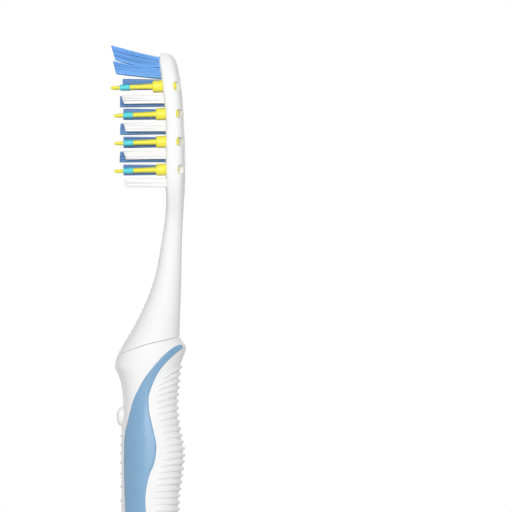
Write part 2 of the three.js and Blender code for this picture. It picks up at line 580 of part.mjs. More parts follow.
for (let z = rearTop; z > rearBottom; z -= RIB_PITCH) {
  ribRings.push(rearRing(z, 0), rearRing(z - RIB_PITCH / 2, RIB_PROUD));
}
piece(body, "rear_grip", loft(ribRings, fromTop), SOFT_WHITE, 0.7, 0);
const bumps = [];
for (let z = padTop - PAD_BUMP_PITCH / 2; z > padBottom + PAD_BUMP_R; z -= PAD_BUMP_PITCH) {
  bumps.push(solid(new THREE.CylinderGeometry(PAD_BUMP_R, PAD_BUMP_R, PAD_WIDTH - 1, 8)
    .translate(handleFront(z) + PAD_BUMP_R - 0.25, 0, z)));
}
piece(body, "thumb_pad", wasm.Manifold.union([padBox(0).intersect(skin).subtract(core),
  wasm.Manifold.union(bumps).subtract(core)]), SOFT_WHITE, 0.7, 0);

// Button, switch and chassis
const buttonBack = handleFront(buttonZ) + BUTTON_DEPTH;
piece(body, "power_button", buttonBody(0, buttonBack, 0), WHITE, 0.5, 0);
const switchBack = chassisFace - FIT;
const switchFront = switchBack - SWITCH_DEPTH;
const alongX = (radius, x0, x1) => solid(new THREE.CylinderGeometry(radius, radius, x1 - x0, 16)
  .rotateZ(Math.PI / 2).translate((x0 + x1) / 2, 0, buttonZ));
piece(body, "switch_plunger", alongX(PLUNGER_R, buttonBack + FIT, switchFront + PLUNGER_SUNK), BLACK, 0.5, 0);
const switchHole = alongX(PLUNGER_R + FIT, switchFront - 1, switchFront + PLUNGER_SUNK + BUTTON_TRAVEL + FIT);
piece(body, "switch_body", box(switchFront, switchBack, -SWITCH_SIZE / 2, SWITCH_SIZE / 2,
  buttonZ - SWITCH_SIZE / 2, buttonZ + SWITCH_SIZE / 2).subtract(switchHole), BLACK, 0.5, 0);
const chassisBottom = bayTop + FIT;
const leadY = -chassisR + BAND_FIT;
const chassis = rod(MOTOR_X, 0, chassisR, chassisBottom, motorBottom - BELL_LENGTH - 3 * FIT)
  .subtract(box(-BEYOND, chassisFace, -BEYOND, BEYOND, chassisBottom + CHASSIS_FLOOR, BEYOND))
  .subtract(box(-BEYOND, BEYOND, -BEYOND, leadY + STRIP_THICK + FIT, -BEYOND, BEYOND));
piece(body, "chassis", chassis, GREY, 0.6, 0);

// Contacts at the top of the cell: a plate with a lead up the chassis, and a strip down the bay
const plateTop = chassisBottom - FIT;
const leadX = chassisFace - FIT - LEAD_WIDTH;
const plus = rod(0, 0, CONTACT_R, plateTop - PLATE_THICK, plateTop)
  .add(box(leadX, leadX + LEAD_WIDTH, leadY, -CONTACT_R / 2, plateTop - PLATE_THICK, plateTop))
  .add(box(leadX, leadX + LEAD_WIDTH, leadY, leadY + STRIP_THICK,
    plateTop - PLATE_THICK, buttonZ - SWITCH_SIZE / 2));
piece(body, "positive_contact", plus, COPPER, 0.35, 1);
const stripEnd = plugTop + FIT;
const strip = through([[stripY, stripEnd], [stripY + STRIP_THICK, stripEnd], [stripY + STRIP_THICK, stripTop],
  [stripInner, stripTop], [stripInner, stripTop - STRIP_THICK], [stripY, stripTop - STRIP_THICK]], stripX0, stripX1);
piece(body, "negative_strip", strip, COPPER, 0.35, 1);

// Motor with its sleeve, shaft and eccentric weight
const can = rod(MOTOR_X, 0, MOTOR_R, motorBottom, motorTop)
  .subtract(rod(MOTOR_X, 0, SHAFT_R + FIT, motorTop - SHAFT_SUNK, BEYOND, 16));
piece(body, "motor_can", can, STEEL, 0.35, 1);
piece(body, "motor_end_bell", rod(MOTOR_X, 0, MOTOR_R - 0.1, motorBottom - BELL_LENGTH - FIT, motorBottom - FIT),
  WHITE, 0.5, 0);
const sleeve = rod(MOTOR_X, 0, MOTOR_R + SLEEVE_WALL + FIT, motorBottom + SLEEVE_WALL, motorTop - WEIGHT_GAP)
  .subtract(rod(MOTOR_X, 0, MOTOR_R + FIT, 0, BEYOND));
piece(body, "motor_sleeve", sleeve, BLACK, 0.8, 0);
piece(body, "motor_shaft", rod(MOTOR_X, 0, SHAFT_R, motorTop - SHAFT_SUNK + FIT, weightTop - BAND_FIT, 16),
  STEEL, 0.3, 1);
const weight = rod(MOTOR_X, 0, WEIGHT_R, weightBottom, weightTop)
  .subtract(box(-BEYOND, BEYOND, -BEYOND, -SHAFT_R - WEIGHT_WEB, 0, BEYOND))
  .subtract(rod(MOTOR_X, 0, SHAFT_R + BAND_FIT, 0, BEYOND, 16));
piece(body, "eccentric_weight", weight, STEEL, 0.3, 1);

// Cell: can, button and the seal between them
const cell = group("cell");
piece(cell, "cell_can", rod(0, 0, CELL_R, cellBottom, cellTop - SEAL_THICK - FIT, 24), 0x3f6f9f, 0.4, 0);
piece(cell, "cell_seal", rod(0, 0, CELL_R - SEAL_THICK, cellTop - SEAL_THICK, cellTop, 24)
  .subtract(rod(0, 0, CELL_NUB_R + FIT, 0, BEYOND)), BLACK, 0.6, 0);
piece(cell, "cell_button", rod(0, 0, CELL_NUB_R, cellTop - SEAL_THICK, cellTop + CELL_NUB_LENGTH), STEEL, 0.3, 1);

// End cap with its plug, ring, contact plate and spring
const cap = group("cap");
const plugR = bayR - FIT;
const ringZ = plugTop - CAP_PLUG_LENGTH / 2;
const grooveR = plugR - 2 * RING_WIRE_R - FIT;
const groove = rod(0, 0, plugR + 1, ringZ - RING_WIRE_R - FIT, ringZ + RING_WIRE_R + FIT, 24)
  .subtract(rod(0, 0, grooveR, 0, BEYOND, 24));
const capBody = skin.intersect(box(-BEYOND, BEYOND, -BEYOND, BEYOND, -BEYOND, CAP_HEIGHT - FIT / 2))
  .add(rod(0, 0, plugR, CAP_FLOOR_Z, plugTop, 24))
  .subtract(rod(0, 0, CAP_HOLLOW_R, CAP_FLOOR_Z, BEYOND))
  .subtract(groove);
piece(cap, "end_cap", capBody, WHITE, 0.4, 0);
piece(cap, "cap_ring", solid(new THREE.TorusGeometry(plugR - RING_WIRE_R, RING_WIRE_R, 5, 24).translate(0, 0, ringZ)),
  BLACK, 0.8, 0);
piece(cap, "cap_plate", rod(0, 0, CAP_HOLLOW_R - FIT, CAP_FLOOR_Z + FIT, CAP_FLOOR_Z + FIT + PLATE_THICK),
  COPPER, 0.35, 1);

const springBottom = CAP_FLOOR_Z + 2 * FIT + PLATE_THICK + SPRING_WIRE_R;
const springRise = cellBottom - FIT - SPRING_WIRE_R - springBottom;
const springSteps = SPRING_TURNS * 8;
const coil = Array.from({ length: springSteps + 1 }, (_, i) => {
  const turn = (i / 8) * Math.PI * 2;
  return new THREE.Vector3(
    SPRING_R * Math.cos(turn), SPRING_R * Math.sin(turn), springBottom + (springRise * i) / springSteps);
});
coil.unshift(coil[0].clone().add(new THREE.Vector3(0, -2 * SPRING_WIRE_R, 0)));
coil.push(coil[coil.length - 1].clone().add(new THREE.Vector3(0, 2 * SPRING_WIRE_R, 0)));
const wire = new THREE.Shape(Array.from({ length: 5 }, (_, i) => new THREE.Vector2(
  SPRING_WIRE_R * Math.cos((i * Math.PI * 2) / 5), SPRING_WIRE_R * Math.sin((i * Math.PI * 2) / 5))));
const springTube = new THREE.ExtrudeGeometry(wire, {
  steps: springSteps + 2, bevelEnabled: false, extrudePath: new THREE.CatmullRomCurve3(coil) });
piece(cap, "cap_spring", solid(springTube), STEEL, 0.3, 1);
let leastGap = Infinity;
coil.forEach((a, i) => coil.slice(i + 5).forEach((b) => {
  leastGap = Math.min(leastGap, a.distanceTo(b) - 2 * SPRING_WIRE_R);
}));
console.log(`spring: least gap between curls ${leastGap.toFixed(2)} mm`);

export default brush;
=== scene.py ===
import math
import random
from bisect import bisect_right
from functools import lru_cache

import bpy
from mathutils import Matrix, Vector


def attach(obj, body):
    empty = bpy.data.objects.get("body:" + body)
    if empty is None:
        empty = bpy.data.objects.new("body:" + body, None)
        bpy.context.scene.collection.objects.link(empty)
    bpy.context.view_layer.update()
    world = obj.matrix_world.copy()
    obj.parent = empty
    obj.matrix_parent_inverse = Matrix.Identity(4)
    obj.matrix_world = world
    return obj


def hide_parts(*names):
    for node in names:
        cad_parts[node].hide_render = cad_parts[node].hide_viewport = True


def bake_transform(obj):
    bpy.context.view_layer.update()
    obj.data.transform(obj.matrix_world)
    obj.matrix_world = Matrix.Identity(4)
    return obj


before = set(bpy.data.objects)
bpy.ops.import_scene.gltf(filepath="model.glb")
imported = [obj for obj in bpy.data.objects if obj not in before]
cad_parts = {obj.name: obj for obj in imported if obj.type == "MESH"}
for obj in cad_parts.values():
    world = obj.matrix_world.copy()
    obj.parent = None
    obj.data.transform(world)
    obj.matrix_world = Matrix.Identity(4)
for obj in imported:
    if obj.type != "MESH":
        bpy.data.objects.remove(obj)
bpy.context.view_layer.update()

# Handle shell.
# A hollow white moulding, squarish round in section, bored from below for the cell, with a narrower bay
# above for the chassis and the motor. It ends in a slanting joint, and the grips are moulded onto it.
MM = 0.001
CREASE = math.radians(40)
ROLL_WELD = 1e-6
CUT_WELD = 5e-7
HANDLE_FRONT = [(0, -6.2), (0.8, -6.7), (2.5, -6.9), (9, -7), (45, -7), (65, -6.9), (82, -6.7),
                (99, -6.6), (104.4, -6.3), (106.3, -6.36), (108.4, -6.6), (110.4, -7.05),
                (111.9, -7.6), (113.3, -8.3), (114.6, -8.15), (116.2, -7.8), (121, -6.9)]
HANDLE_BACK = [(0, 6.2), (0.8, 6.7), (2.5, 6.9), (9, 7), (25, 7.2), (45, 7.4), (60, 7.3), (72, 6.8),
               (79, 6.55), (82.5, 6.64), (86, 7.14), (89.1, 7.5), (92.4, 7.83), (93.9, 7.74),
               (97.3, 7.14), (100.9, 6.55), (105.7, 6.3), (109, 6.55), (112.4, 6.9), (114.2, 7.3),
               (115.4, 7.7), (117.2, 8.4), (118.2, 8.6), (119, 8.1), (120.6, 7), (122, 6.1)]
HANDLE_HALF = [(0, 6.2), (0.8, 6.7), (2.5, 6.9), (9, 7.1), (25, 7.6), (45, 7.9), (60, 7.9),
               (75, 7.8), (90, 7.9), (98, 7.6), (105, 7.2), (110, 7.3), (114, 7.7), (118, 7.7),
               (122, 7)]
HANDLE_SQUARE = 2.3
PARTING = [(-9, 115.86), (-7.76, 116.3), (-0.43, 118.9), (4.5, 120), (7, 120.6), (9, 121.1)]
JOINT_HALF = 0.04
JOINT_LIP = 2.5
SLANT_FROM = 0.55
SLANT_EASE = 1.5
EDGE_CLEAR = 0.4
SHELL_ROWS = 240
CAP_SEAM = 9
SEAM_HALF = 0.06
BORE = 5.6
BORE_TOP = 61.6
BORE_MOUTH = 9.4
BORE_ROUND = 0.3
BORE_FLARE = 0.2
BORE_ROWS = 12
MOTOR_X = 0.3
MOTOR_BAY = 4
BAY_LOW = 61.3
BAY_HIGH = 125
STRIP_GROOVE = (-0.5, 4.725, 37.2)
STRIP_GROOVE_SIZE = (2.6, 3.25, 56.4)


def smooth(marks, ease=0.0):
    """A fair curve through marks, each a height and the value there, eased over a distance."""
    heights = [mark[0] for mark in marks]
    values = [mark[1] for mark in marks]
    spans = [b - a for a, b in zip(heights, heights[1:])]
    steps = [(b - a) / span for a, b, span in zip(values, values[1:], spans)]
    slopes = [steps[0]]
    for i in range(1, len(steps)):
        both = spans[i - 1] + spans[i]
        slopes.append((steps[i - 1] * spans[i] + steps[i] * spans[i - 1]) / both)
    slopes.append(steps[-1])

    def at(height):
        i = min(max(bisect_right(heights, height) - 1, 0), len(spans) - 1)
        t = min(max((height - heights[i]) / spans[i], 0), 1)
        a, b = values[i], values[i + 1]
        m, n = slopes[i] * spans[i], slopes[i + 1] * spans[i]
        return a + m * t + (3 * (b - a) - 2 * m - n) * t * t + (2 * (a - b) + m + n) * t ** 3

    def eased(height):
        near = min(ease, height - heights[0], heights[-1] - height)
        if near <= 0:
            return at(height)
        return sum(at(height + near * k / 3) * (4 - abs(k)) for k in range(-3, 4)) / 16

    return lru_cache(None)(eased if ease else at)


def power(value, exponent):
    """Signed power, which makes a round section squarish."""
    return math.copysign(abs(value) ** exponent, value)


handle_front = smooth(HANDLE_FRONT, 0.9)
handle_back = smooth(HANDLE_BACK, 0.45)
handle_half = smooth(HANDLE_HALF, 3.0)
parting = smooth(PARTING)


def handle_point(z, turn, proud=0.0):
    """The point of the handle's skin at a height and a turn, from the back at 0 to the front at pi."""
    front = handle_front(z) - proud
    back = handle_back(z) + proud
    x = (front + back) / 2 + (back - front) / 2 * power(math.cos(turn), 2 / HANDLE_SQUARE)
    return Vector((x, (handle_half(z) + proud) * power(math.sin(turn), 2 / HANDLE_SQUARE), z))


def roll(name, rings, wrap=True):
    """A grid with a row for each ring, rolled up so that each row lies on its ring."""
    columns = len(rings[0]) if wrap else len(rings[0]) - 1
    rows = len(rings) - 1
    bpy.ops.object.select_all(action="DESELECT")
    bpy.ops.mesh.primitive_grid_add(x_subdivisions=columns, y_subdivisions=rows, size=2)
    made = bpy.context.object
    made.name = name
    for vertex in made.data.vertices:
        column = round((vertex.co.x + 1) / 2 * columns) % len(rings[0])
        row = round((vertex.co.y + 1) / 2 * rows)
        vertex.co = rings[row][column] * MM
    bpy.ops.object.mode_set(mode="EDIT")
    bpy.ops.mesh.select_all(action="SELECT")
    bpy.ops.mesh.remove_doubles(threshold=ROLL_WELD)
    if wrap:
        bpy.ops.mesh.fill_holes(sides=0)
        bpy.ops.mesh.normals_make_consistent(inside=False)
    bpy.ops.object.mode_set(mode="OBJECT")
    bpy.ops.object.shade_smooth_by_angle(angle=CREASE)
    return made


class Signal:
    """An output of a material's nodes: arithmetic on it adds Math nodes, and node adds any kind."""

    def __init__(self, tree, socket=None):
        self.tree = tree
        self.socket = socket

    def node(self, kind, settings, inputs, output=0):
        made = self.tree.nodes.new(kind)
        for name, value in settings.items():
            setattr(made, name, value)
        for name, value in inputs.items():
            if isinstance(value, Signal):
                self.tree.links.new(value.socket, made.inputs[name])
            else:
                made.inputs[name].default_value = value
        return Signal(self.tree, made.outputs[output])

    def combine(self, operation, first, second):
        return self.node("ShaderNodeMath", {"operation": operation}, {0: first, 1: second})

    def __add__(self, other):
        return self.combine("ADD", self, other)

    def __radd__(self, other):
        return self.combine("ADD", other, self)

    def __mul__(self, other):
        return self.combine("MULTIPLY", self, other)

    def __rmul__(self, other):
        return self.combine("MULTIPLY", other, self)

    def noise(self, scale, detail=3.0, stretch=(1, 1, 1)):
        """Noise on this place, with its size in millimetres."""
        scales = [s / MM for s in stretch]
        place = self.node("ShaderNodeMapping", {}, {"Vector": self, "Scale": scales})
        inputs = {"Vector": place, "Scale": 1 / scale, "Detail": detail}
        return self.node("ShaderNodeTexNoise", {}, inputs)

    def between(self, low, high):
        """A colour from low to high as this value goes from 0 to 1."""
        inputs = {0: self, 6: (*low, 1), 7: (*high, 1)}
        return self.node("ShaderNodeMix", {"data_type": "RGBA"}, inputs, 2)

    def bump(self, height, strength=0.3):
        """This value as a relief of that height in millimetres."""
        inputs = {"Height": self, "Distance": height * MM, "Strength": strength}
        return self.node("ShaderNodeBump", {}, inputs)


def finish(name, paint, **fixed):
    """A material: paint takes the place on the piece and gives what varies, and the rest is fixed."""
    material = bpy.data.materials.new(name)
    material.use_nodes = True
    tree = material.node_tree
    shader = tree.nodes["Principled BSDF"]
    for socket, value in fixed.items():
        shader.inputs[socket.replace("_", " ")].default_value = value
    place = Signal(tree).node("ShaderNodeTexCoord", {}, {}, "Object")
    for socket, signal in paint(place).items():
        tree.links.new(signal.socket, shader.inputs[socket])
    return material


def moulded(low, high, cloud, rough, grain):
    """Paint of a moulded skin: clouded colour, uneven roughness and a fine grain.
    cloud is a size, rough a value, a spread and a size, and grain a size, a height and a strength."""
    value, spread, patch = rough
    size, height, strength = grain

    def paint(place):
        return {"Base Color": place.noise(cloud).between(low, high),
                "Roughness": value + spread * place.noise(patch),
                "Normal": place.noise(size, 2.0).bump(height, strength)}

    return paint


gloss_white = moulded((0.885, 0.888, 0.893), (0.915, 0.917, 0.92), 9.0,
                      (0.34, 0.12, 2.2), (0.16, 0.01, 0.25))
white_plastic = finish("white_plastic", gloss_white, Specular_IOR_Level=0.06,
                       Coat_Weight=0.03, Coat_Roughness=0.2)


def dress(made, material, body, slot, *nodes):
    """Puts the finish on a piece and says what it rides on and stands for."""
    made.data.materials.clear()
    made.data.materials.append(material)
    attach(made, body)
    if nodes:
        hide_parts(*nodes)


TURNS = 112
turns = [2 * math.pi * i / TURNS for i in range(TURNS)]
# Distance from a moulding's edge, and how far the skin has rolled in there
ROLLED_EDGE = [(0, 0.12), (0.02, 0.07), (0.05, 0.03), (0.1, 0.01), (0.18, 0)]


def round_ring(radius, z, x=0.0, count=TURNS):
    """A level ring of points."""
    return [Vector((x + radius * math.cos(2 * math.pi * i / count),
                    radius * math.sin(2 * math.pi * i / count), z)) for i in range(count)]


def slanted(point_at, level, share, turn, proud):
    """The point of a skin on a row that follows the slanting joint by a share."""
    z = level
    for _ in range(5):
        x = point_at(z, turn, proud).x
        z = level + share * (parting(x) - parting(0))
    return point_at(z, turn, proud)


rings = [round_ring(0, BORE_TOP), round_ring(BORE - BORE_ROUND, BORE_TOP),
         round_ring(BORE, BORE_TOP - BORE_ROUND)]
bore_high = BORE_TOP - BORE_ROUND - BORE_MOUTH
rings += [round_ring(BORE, BORE_MOUTH + bore_high * k / BORE_ROWS) for k in range(BORE_ROWS, -1, -1)]
shell_low = CAP_SEAM + SEAM_HALF
rings.append(round_ring(BORE + BORE_FLARE, shell_low))
rings += [[handle_point(shell_low + d, t, -inset) for t in turns] for d, inset in ROLLED_EDGE]
joint_level = parting(0) - JOINT_HALF
low = CAP_SEAM + EDGE_CLEAR
for k in range(1, SHELL_ROWS):
    part = k / SHELL_ROWS
    share = max(0, (part - SLANT_FROM) / (1 - SLANT_FROM)) ** SLANT_EASE
    level = low + (joint_level - EDGE_CLEAR - low) * part
    rings.append([slanted(handle_point, level, share, t, 0) for t in turns])
rings += [[slanted(handle_point, joint_level - d, 1, t, -inset) for t in turns]
          for d, inset in reversed(ROLLED_EDGE)]
rings.append([slanted(handle_point, joint_level, 1, t, -JOINT_LIP) for t in turns])
shell = roll("handle_shell_skin", rings)

# The bays, the groove of the contact strip and the button's hole are cut out of it.
BUTTON_Z = 101.6
# Half the button's width and height, and the gap round it
BUTTON_WIDE = 2
BUTTON_HIGH = 2.6
BUTTON_GAP = 0.07
HOLE_FROM = -10
HOLE_TO = -3.4
button_face = handle_front(BUTTON_Z)


def across_ring(x, half_y, half_z, z, count=64):
    """A ring that faces along the brush's front, for the button and what lies round it."""
    spots = [2 * math.pi * i / count for i in range(count)]
    return [Vector((x, half_y * math.cos(s), z + half_z * math.sin(s))) for s in spots]


def carve(made, cutter):
    """Cuts the cutter's shape out of a piece, and welds the cut."""
    bpy.ops.object.select_all(action="DESELECT")
    bpy.context.view_layer.objects.active = made
    made.select_set(True)
    cut = made.modifiers.new("cut", "BOOLEAN")
    cut.object = cutter
    cut.solver = "EXACT"
    bpy.ops.object.modifier_apply(modifier="cut")
    bpy.data.objects.remove(cutter)
    bpy.ops.object.mode_set(mode="EDIT")
    bpy.ops.mesh.select_all(action="SELECT")
    bpy.ops.mesh.remove_doubles(threshold=CUT_WELD)
    bpy.ops.mesh.dissolve_degenerate(threshold=CUT_WELD)
    bpy.ops.object.mode_set(mode="OBJECT")
    bpy.ops.object.shade_smooth_by_angle(angle=CREASE)


def motor_rod(radius, low, high):
    """A closed bar on the motor's axis that cuts a round bay."""
    return roll("motor_rod", [round_ring(radius, low, MOTOR_X), round_ring(radius, high, MOTOR_X)])


def button_hole():
    """The bar that cuts the button's hole."""
    wide, high = BUTTON_WIDE + BUTTON_GAP, BUTTON_HIGH + BUTTON_GAP
    return roll("button_hole", [across_ring(x, wide, high, BUTTON_Z) for x in (HOLE_FROM, HOLE_TO)])


carve(shell, motor_rod(MOTOR_BAY, BAY_LOW, BAY_HIGH))
bpy.ops.mesh.primitive_cube_add(size=MM, location=Vector(STRIP_GROOVE) * MM,
                                scale=STRIP_GROOVE_SIZE)
carve(shell, bpy.context.object)
carve(shell, button_hole())
dress(shell, white_plastic, "handle", "white_plastic", "handle_shell")

# Power button.
# A soft white dome that stands in a hole at the front and presses the switch behind it.
# Its skirt runs down into the shell, so no gap shows when it is pressed.
BUTTON_PROUD = 1.55
BUTTON_SUNK = 2.1
SKIRT_STEPS = (1.9, 1.0, 0.4, 0)
SKIRT_ROUND = 0.15
# Height above the shell, and how far the rim round the dome has drawn in there
BUTTON_RIM = [(0.22, 0), (0.3, 0.03), (0.36, 0.1), (0.36, 0.22), (0.33, 0.28), (0.36, 0.33)]
DOME_ROWS = 18
DOME_FULL = 0.9
soft = moulded((0.865, 0.868, 0.873), (0.9, 0.902, 0.905), 5.0, (0.5, 0.14, 1.3), (0.11, 0.02, 0.35))
soft_white = finish("soft_white", soft, Sheen_Weight=0.1)
skirt_end = button_face + BUTTON_SUNK
rings = [across_ring(skirt_end, 0, 0, BUTTON_Z),
         across_ring(skirt_end, BUTTON_WIDE - SKIRT_ROUND, BUTTON_HIGH - SKIRT_ROUND, BUTTON_Z)]
rings += [across_ring(button_face + x, BUTTON_WIDE, BUTTON_HIGH, BUTTON_Z) for x in SKIRT_STEPS]
rings += [across_ring(button_face - x, BUTTON_WIDE - inset, BUTTON_HIGH - inset, BUTTON_Z)
          for x, inset in BUTTON_RIM]
rim_high, rim_inset = BUTTON_RIM[-1]
for k in range(1, DOME_ROWS + 1):
    lift = math.sin(math.pi / 2 * k / DOME_ROWS)
    spread = math.cos(math.pi / 2 * k / DOME_ROWS) ** DOME_FULL
    rings.append(across_ring(button_face - rim_high - (BUTTON_PROUD - rim_high) * lift,
                             (BUTTON_WIDE - rim_inset) * spread, (BUTTON_HIGH - rim_inset) * spread,
                             BUTTON_Z))
button = roll("power_button_dome", rings)
dress(button, soft_white, "button", "white_grip", "power_button")

# Thumb pad.
# A panel of the same soft white let into the front, from the shoulder down past the button, with short
# raised bars below the button for the thumb. Its edge shows from the side as a fine line.
PAD_TOP = 115.4
PAD_LOW = 67.8
PAD_HALF = 3.25
PAD_PROUD = 0.1
PAD_EDGE = 0.4
PAD_EDGE_DROP = 0.34
PAD_END_SHARE = 0.8
PAD_ROWS = 420
PAD_COLUMNS = 40
SKIN_DEPTH = 0.45
SKIN_CREASE = math.radians(50)
THINNEST = 0.02
BARS = [96.95, 94.9, 92.85, 90.6, 88.05, 85, 81.6, 77.9, 73.8]
BAR_HALF_HIGH = 0.36
BAR_HALF_WIDE = 1.5
BAR_PROUD = 0.36


def pad_width(z):
    """Half width of the panel, round at both ends."""
    end = min(PAD_TOP - z, z - PAD_LOW, PAD_HALF)
    return max(PAD_HALF * math.sqrt(max(0, 1 - (1 - end / PAD_HALF) ** 2)), THINNEST)


def pad_lift(edge, y, z):
    """How far the panel stands out, at a distance from its edge: it rolls in there, and bars rise."""
    lift = PAD_PROUD - PAD_EDGE_DROP * max(0, 1 - edge / PAD_EDGE) ** 2
    for bar in BARS:
        rise = 1 - ((z - bar) / BAR_HALF_HIGH) ** 2 - (y / BAR_HALF_WIDE) ** 4
        if rise > 0:
            lift += BAR_PROUD * math.sqrt(rise)
    return lift


def skin(name, rings):
    """A sheet laid on the handle, with its faces turned outwards and its thickness inwards."""
    made = roll(name, rings, wrap=False)
    way = sum(face.normal.dot(Vector((face.center.x, face.center.y, 0))) * face.area
              for face in made.data.polygons)
    if way < 0:
        bpy.ops.object.mode_set(mode="EDIT")
        bpy.ops.mesh.select_all(action="SELECT")
        bpy.ops.mesh.flip_normals()
        bpy.ops.object.mode_set(mode="OBJECT")
    wall = made.modifiers.new("wall", "SOLIDIFY")
    wall.thickness = SKIN_DEPTH * MM
    wall.offset = -1
    bpy.ops.object.modifier_apply(modifier="wall")
    bpy.ops.object.mode_set(mode="EDIT")
    bpy.ops.mesh.select_all(action="SELECT")
    bpy.ops.mesh.normals_make_consistent(inside=False)
    bpy.ops.object.mode_set(mode="OBJECT")
    bpy.ops.object.shade_smooth_by_angle(angle=SKIN_CREASE)
    return made


rings = []
for k in range(PAD_ROWS + 1):
    z = PAD_TOP - (PAD_TOP - PAD_LOW) * (k / PAD_ROWS)
    half = pad_width(z)
    ring = []
    for i in range(PAD_COLUMNS + 1):
        y = half * math.sin(math.pi / 2 * (i / (PAD_COLUMNS / 2) - 1))
        side = power(abs(y) / handle_half(z), HANDLE_SQUARE / 2)
        turn = math.pi - math.copysign(math.asin(side), y)
        edge = min(half - abs(y), PAD_END_SHARE * min(PAD_TOP - z, z - PAD_LOW))
        ring.append(handle_point(z, turn, pad_lift(edge, y, z)))
    rings.append(ring)
pad = skin("thumb_pad_strip", rings)
carve(pad, button_hole())
dress(pad, soft_white, "handle", "white_grip", "thumb_pad")

# Side grips.
# Blue elastomer on either side, flush but for a rounded edge: broad in the middle, and a narrow band
# that sweeps up and back and ends in the corner of the shoulder.
# Marks up the grip: height and x of its front edge, then of its back edge
GRIP_MARKS = [(49, -1.2, 49, -1.15), (50.2, -2.1, 50.2, -0.5), (52.5, -2.9, 52.5, 0.4),
              (58, -4.1, 57.4, 1.3), (66, -5.1, 66, 1.35), (74, -5.7, 74, -0.1),
              (81.8, -6.05, 81.8, -0.85), (86.8, -6.2, 86.8, -0.1), (90.7, -6.25, 90.7, 1.3),
              (94.9, -6.2, 94.6, 1.77), (98, -5.95, 98, 1.15), (101.7, -5.1, 101.2, 0.45),
              (105.2, -4.2, 104.6, -0.05), (108, -3, 107.1, 0.15), (111.2, -1.2, 109.6, 0.95),
              (113.8, 0.8, 112, 2.15), (116.3, 3.1, 114.2, 3.8), (117.9, 5, 115.6, 5.2),
              (118.6, 6.1, 116.5, 6.2), (118.85, 6.8, 117, 6.8), (118.85, 7.3, 117.35, 7.25),
              (118.7, 7.6, 117.7, 7.6), (118.4, 7.78, 118.1, 7.77)]
# Columns of points near an edge, by their distance from it where the grip is not narrow
GRIP_EDGE = [0, 0.05, 0.12, 0.22, 0.34, 0.48]
GRIP_NARROW = 1.3
GRIP_ROWS = 260
GRIP_COLUMNS = 30
GRIP_PROUD = 0.12
GRIP_ROUND = 0.42
GRIP_EDGE_DROP = 0.36
SIDES = ((-1, "left"), (1, "right"))


def turn_at(z, x):
    """The turn at which the handle's skin reaches an x."""
    front, back = handle_front(z), handle_back(z)
    share = min(max((2 * x - front - back) / (back - front), -1), 1)
    return math.acos(power(share, HANDLE_SQUARE / 2))


blue = moulded((0.178, 0.350, 0.555), (0.220, 0.402, 0.593), 4.0, (0.48, 0.12, 1.1), (0.13, 0.02, 0.3))
blue_grip = finish("blue_grip", blue, Coat_Weight=0.3, Coat_Roughness=0.2)
lines = [smooth([(k, mark[i]) for k, mark in enumerate(GRIP_MARKS)]) for i in range(4)]
front_high, front_x, back_high, back_x = lines
for side, name in SIDES:
    rings = []
    for k in range(GRIP_ROWS + 1):
        mark = (len(GRIP_MARKS) - 1) * k / GRIP_ROWS
        low, high = front_high(mark), back_high(mark)
        first, last = turn_at(low, front_x(mark)), turn_at(high, back_x(mark))
        wide = max((handle_point(low, first) - handle_point(high, last)).length, THINNEST)
        tight = min(1, wide / GRIP_NARROW)
        along = [d * tight for d in GRIP_EDGE]
        inside = wide - 2 * along[-1]
        middle = [along[-1] + inside * i / GRIP_COLUMNS for i in range(1, GRIP_COLUMNS)]
        along += middle + [wide - d for d in reversed(along)]
        ring = []
        for far in along:
            part = far / wide
            edge = min(far, wide - far)
            lift = GRIP_PROUD - GRIP_EDGE_DROP * max(0, 1 - edge / GRIP_ROUND) ** 2
            turn = side * (first + (last - first) * part)
            ring.append(handle_point(low + (high - low) * part, turn, lift))
        rings.append(ring)
    grip = skin(f"{name}_grip_skin", rings)
    dress(grip, blue_grip, "handle", "blue_grip", f"{name}_grip")

# Rear grip.
# Soft white moulded over the back, with raised ribs that run forward and down from the back edge
# and die out before the blue.
REAR_EDGE = [(60.6, 4), (65, 3.1), (69, 2.6), (74, 1.7), (79, 0.6), (83.5, 0.25), (85, 0.4),
             (88.4, 1.4), (91.7, 2.45), (95.1, 2.65), (96.7, 2.45), (99.9, 1.75), (101.5, 1.2),
             (104.3, 0.75), (105.9, 0.7), (107.3, 0.85), (108.9, 1.4), (110.6, 2.5), (112.7, 4.2),
             (114, 5.5)]
# How steeply the ribs run down, by height
RIB_SLOPE = [(60, 0), (83, 0.03), (86, 0.06), (92, 0.15), (97, 0.19), (101.5, 0.25), (106, 0.31),
             (109, 0.37), (113.6, 0.62)]
# The profile of a rib over one pitch
RIB_STEPS = [(0, 0), (0.02, 0.14), (0.05, 0.6), (0.09, 0.9), (0.14, 1), (0.27, 1), (0.4, 1),
             (0.45, 0.9), (0.49, 0.6), (0.52, 0.14), (0.54, 0), (0.7, 0), (0.86, 0)]
RIB_PITCH = 1.6
RIBS = 31
RIB_PROUD = 0.24
RIB_CROWN = 0.24
RIB_TURN = 1.9
RIB_FROM = 0.45
RIB_FADE = 0.3
REAR_TOP = 113.6
REAR_HALF = 7
REAR_COLUMNS = 80
REAR_PROUD = 0.04
REAR_ROUND = 0.3
REAR_EDGE_DROP = 0.24
rib_slope = smooth(RIB_SLOPE)
rear_edge = smooth(REAR_EDGE)


def rib_point(level, share, lift):
    """A point of the ribbed back, on the row that starts at a level of the back edge."""
    z = level
    for _ in range(4):
        turn = turn_at(z, rear_edge(z)) * share
        point = handle_point(z, turn, lift)
        z = level - rib_slope(level) * (handle_back(level) - point.x)
    return handle_point(z, turn, lift)


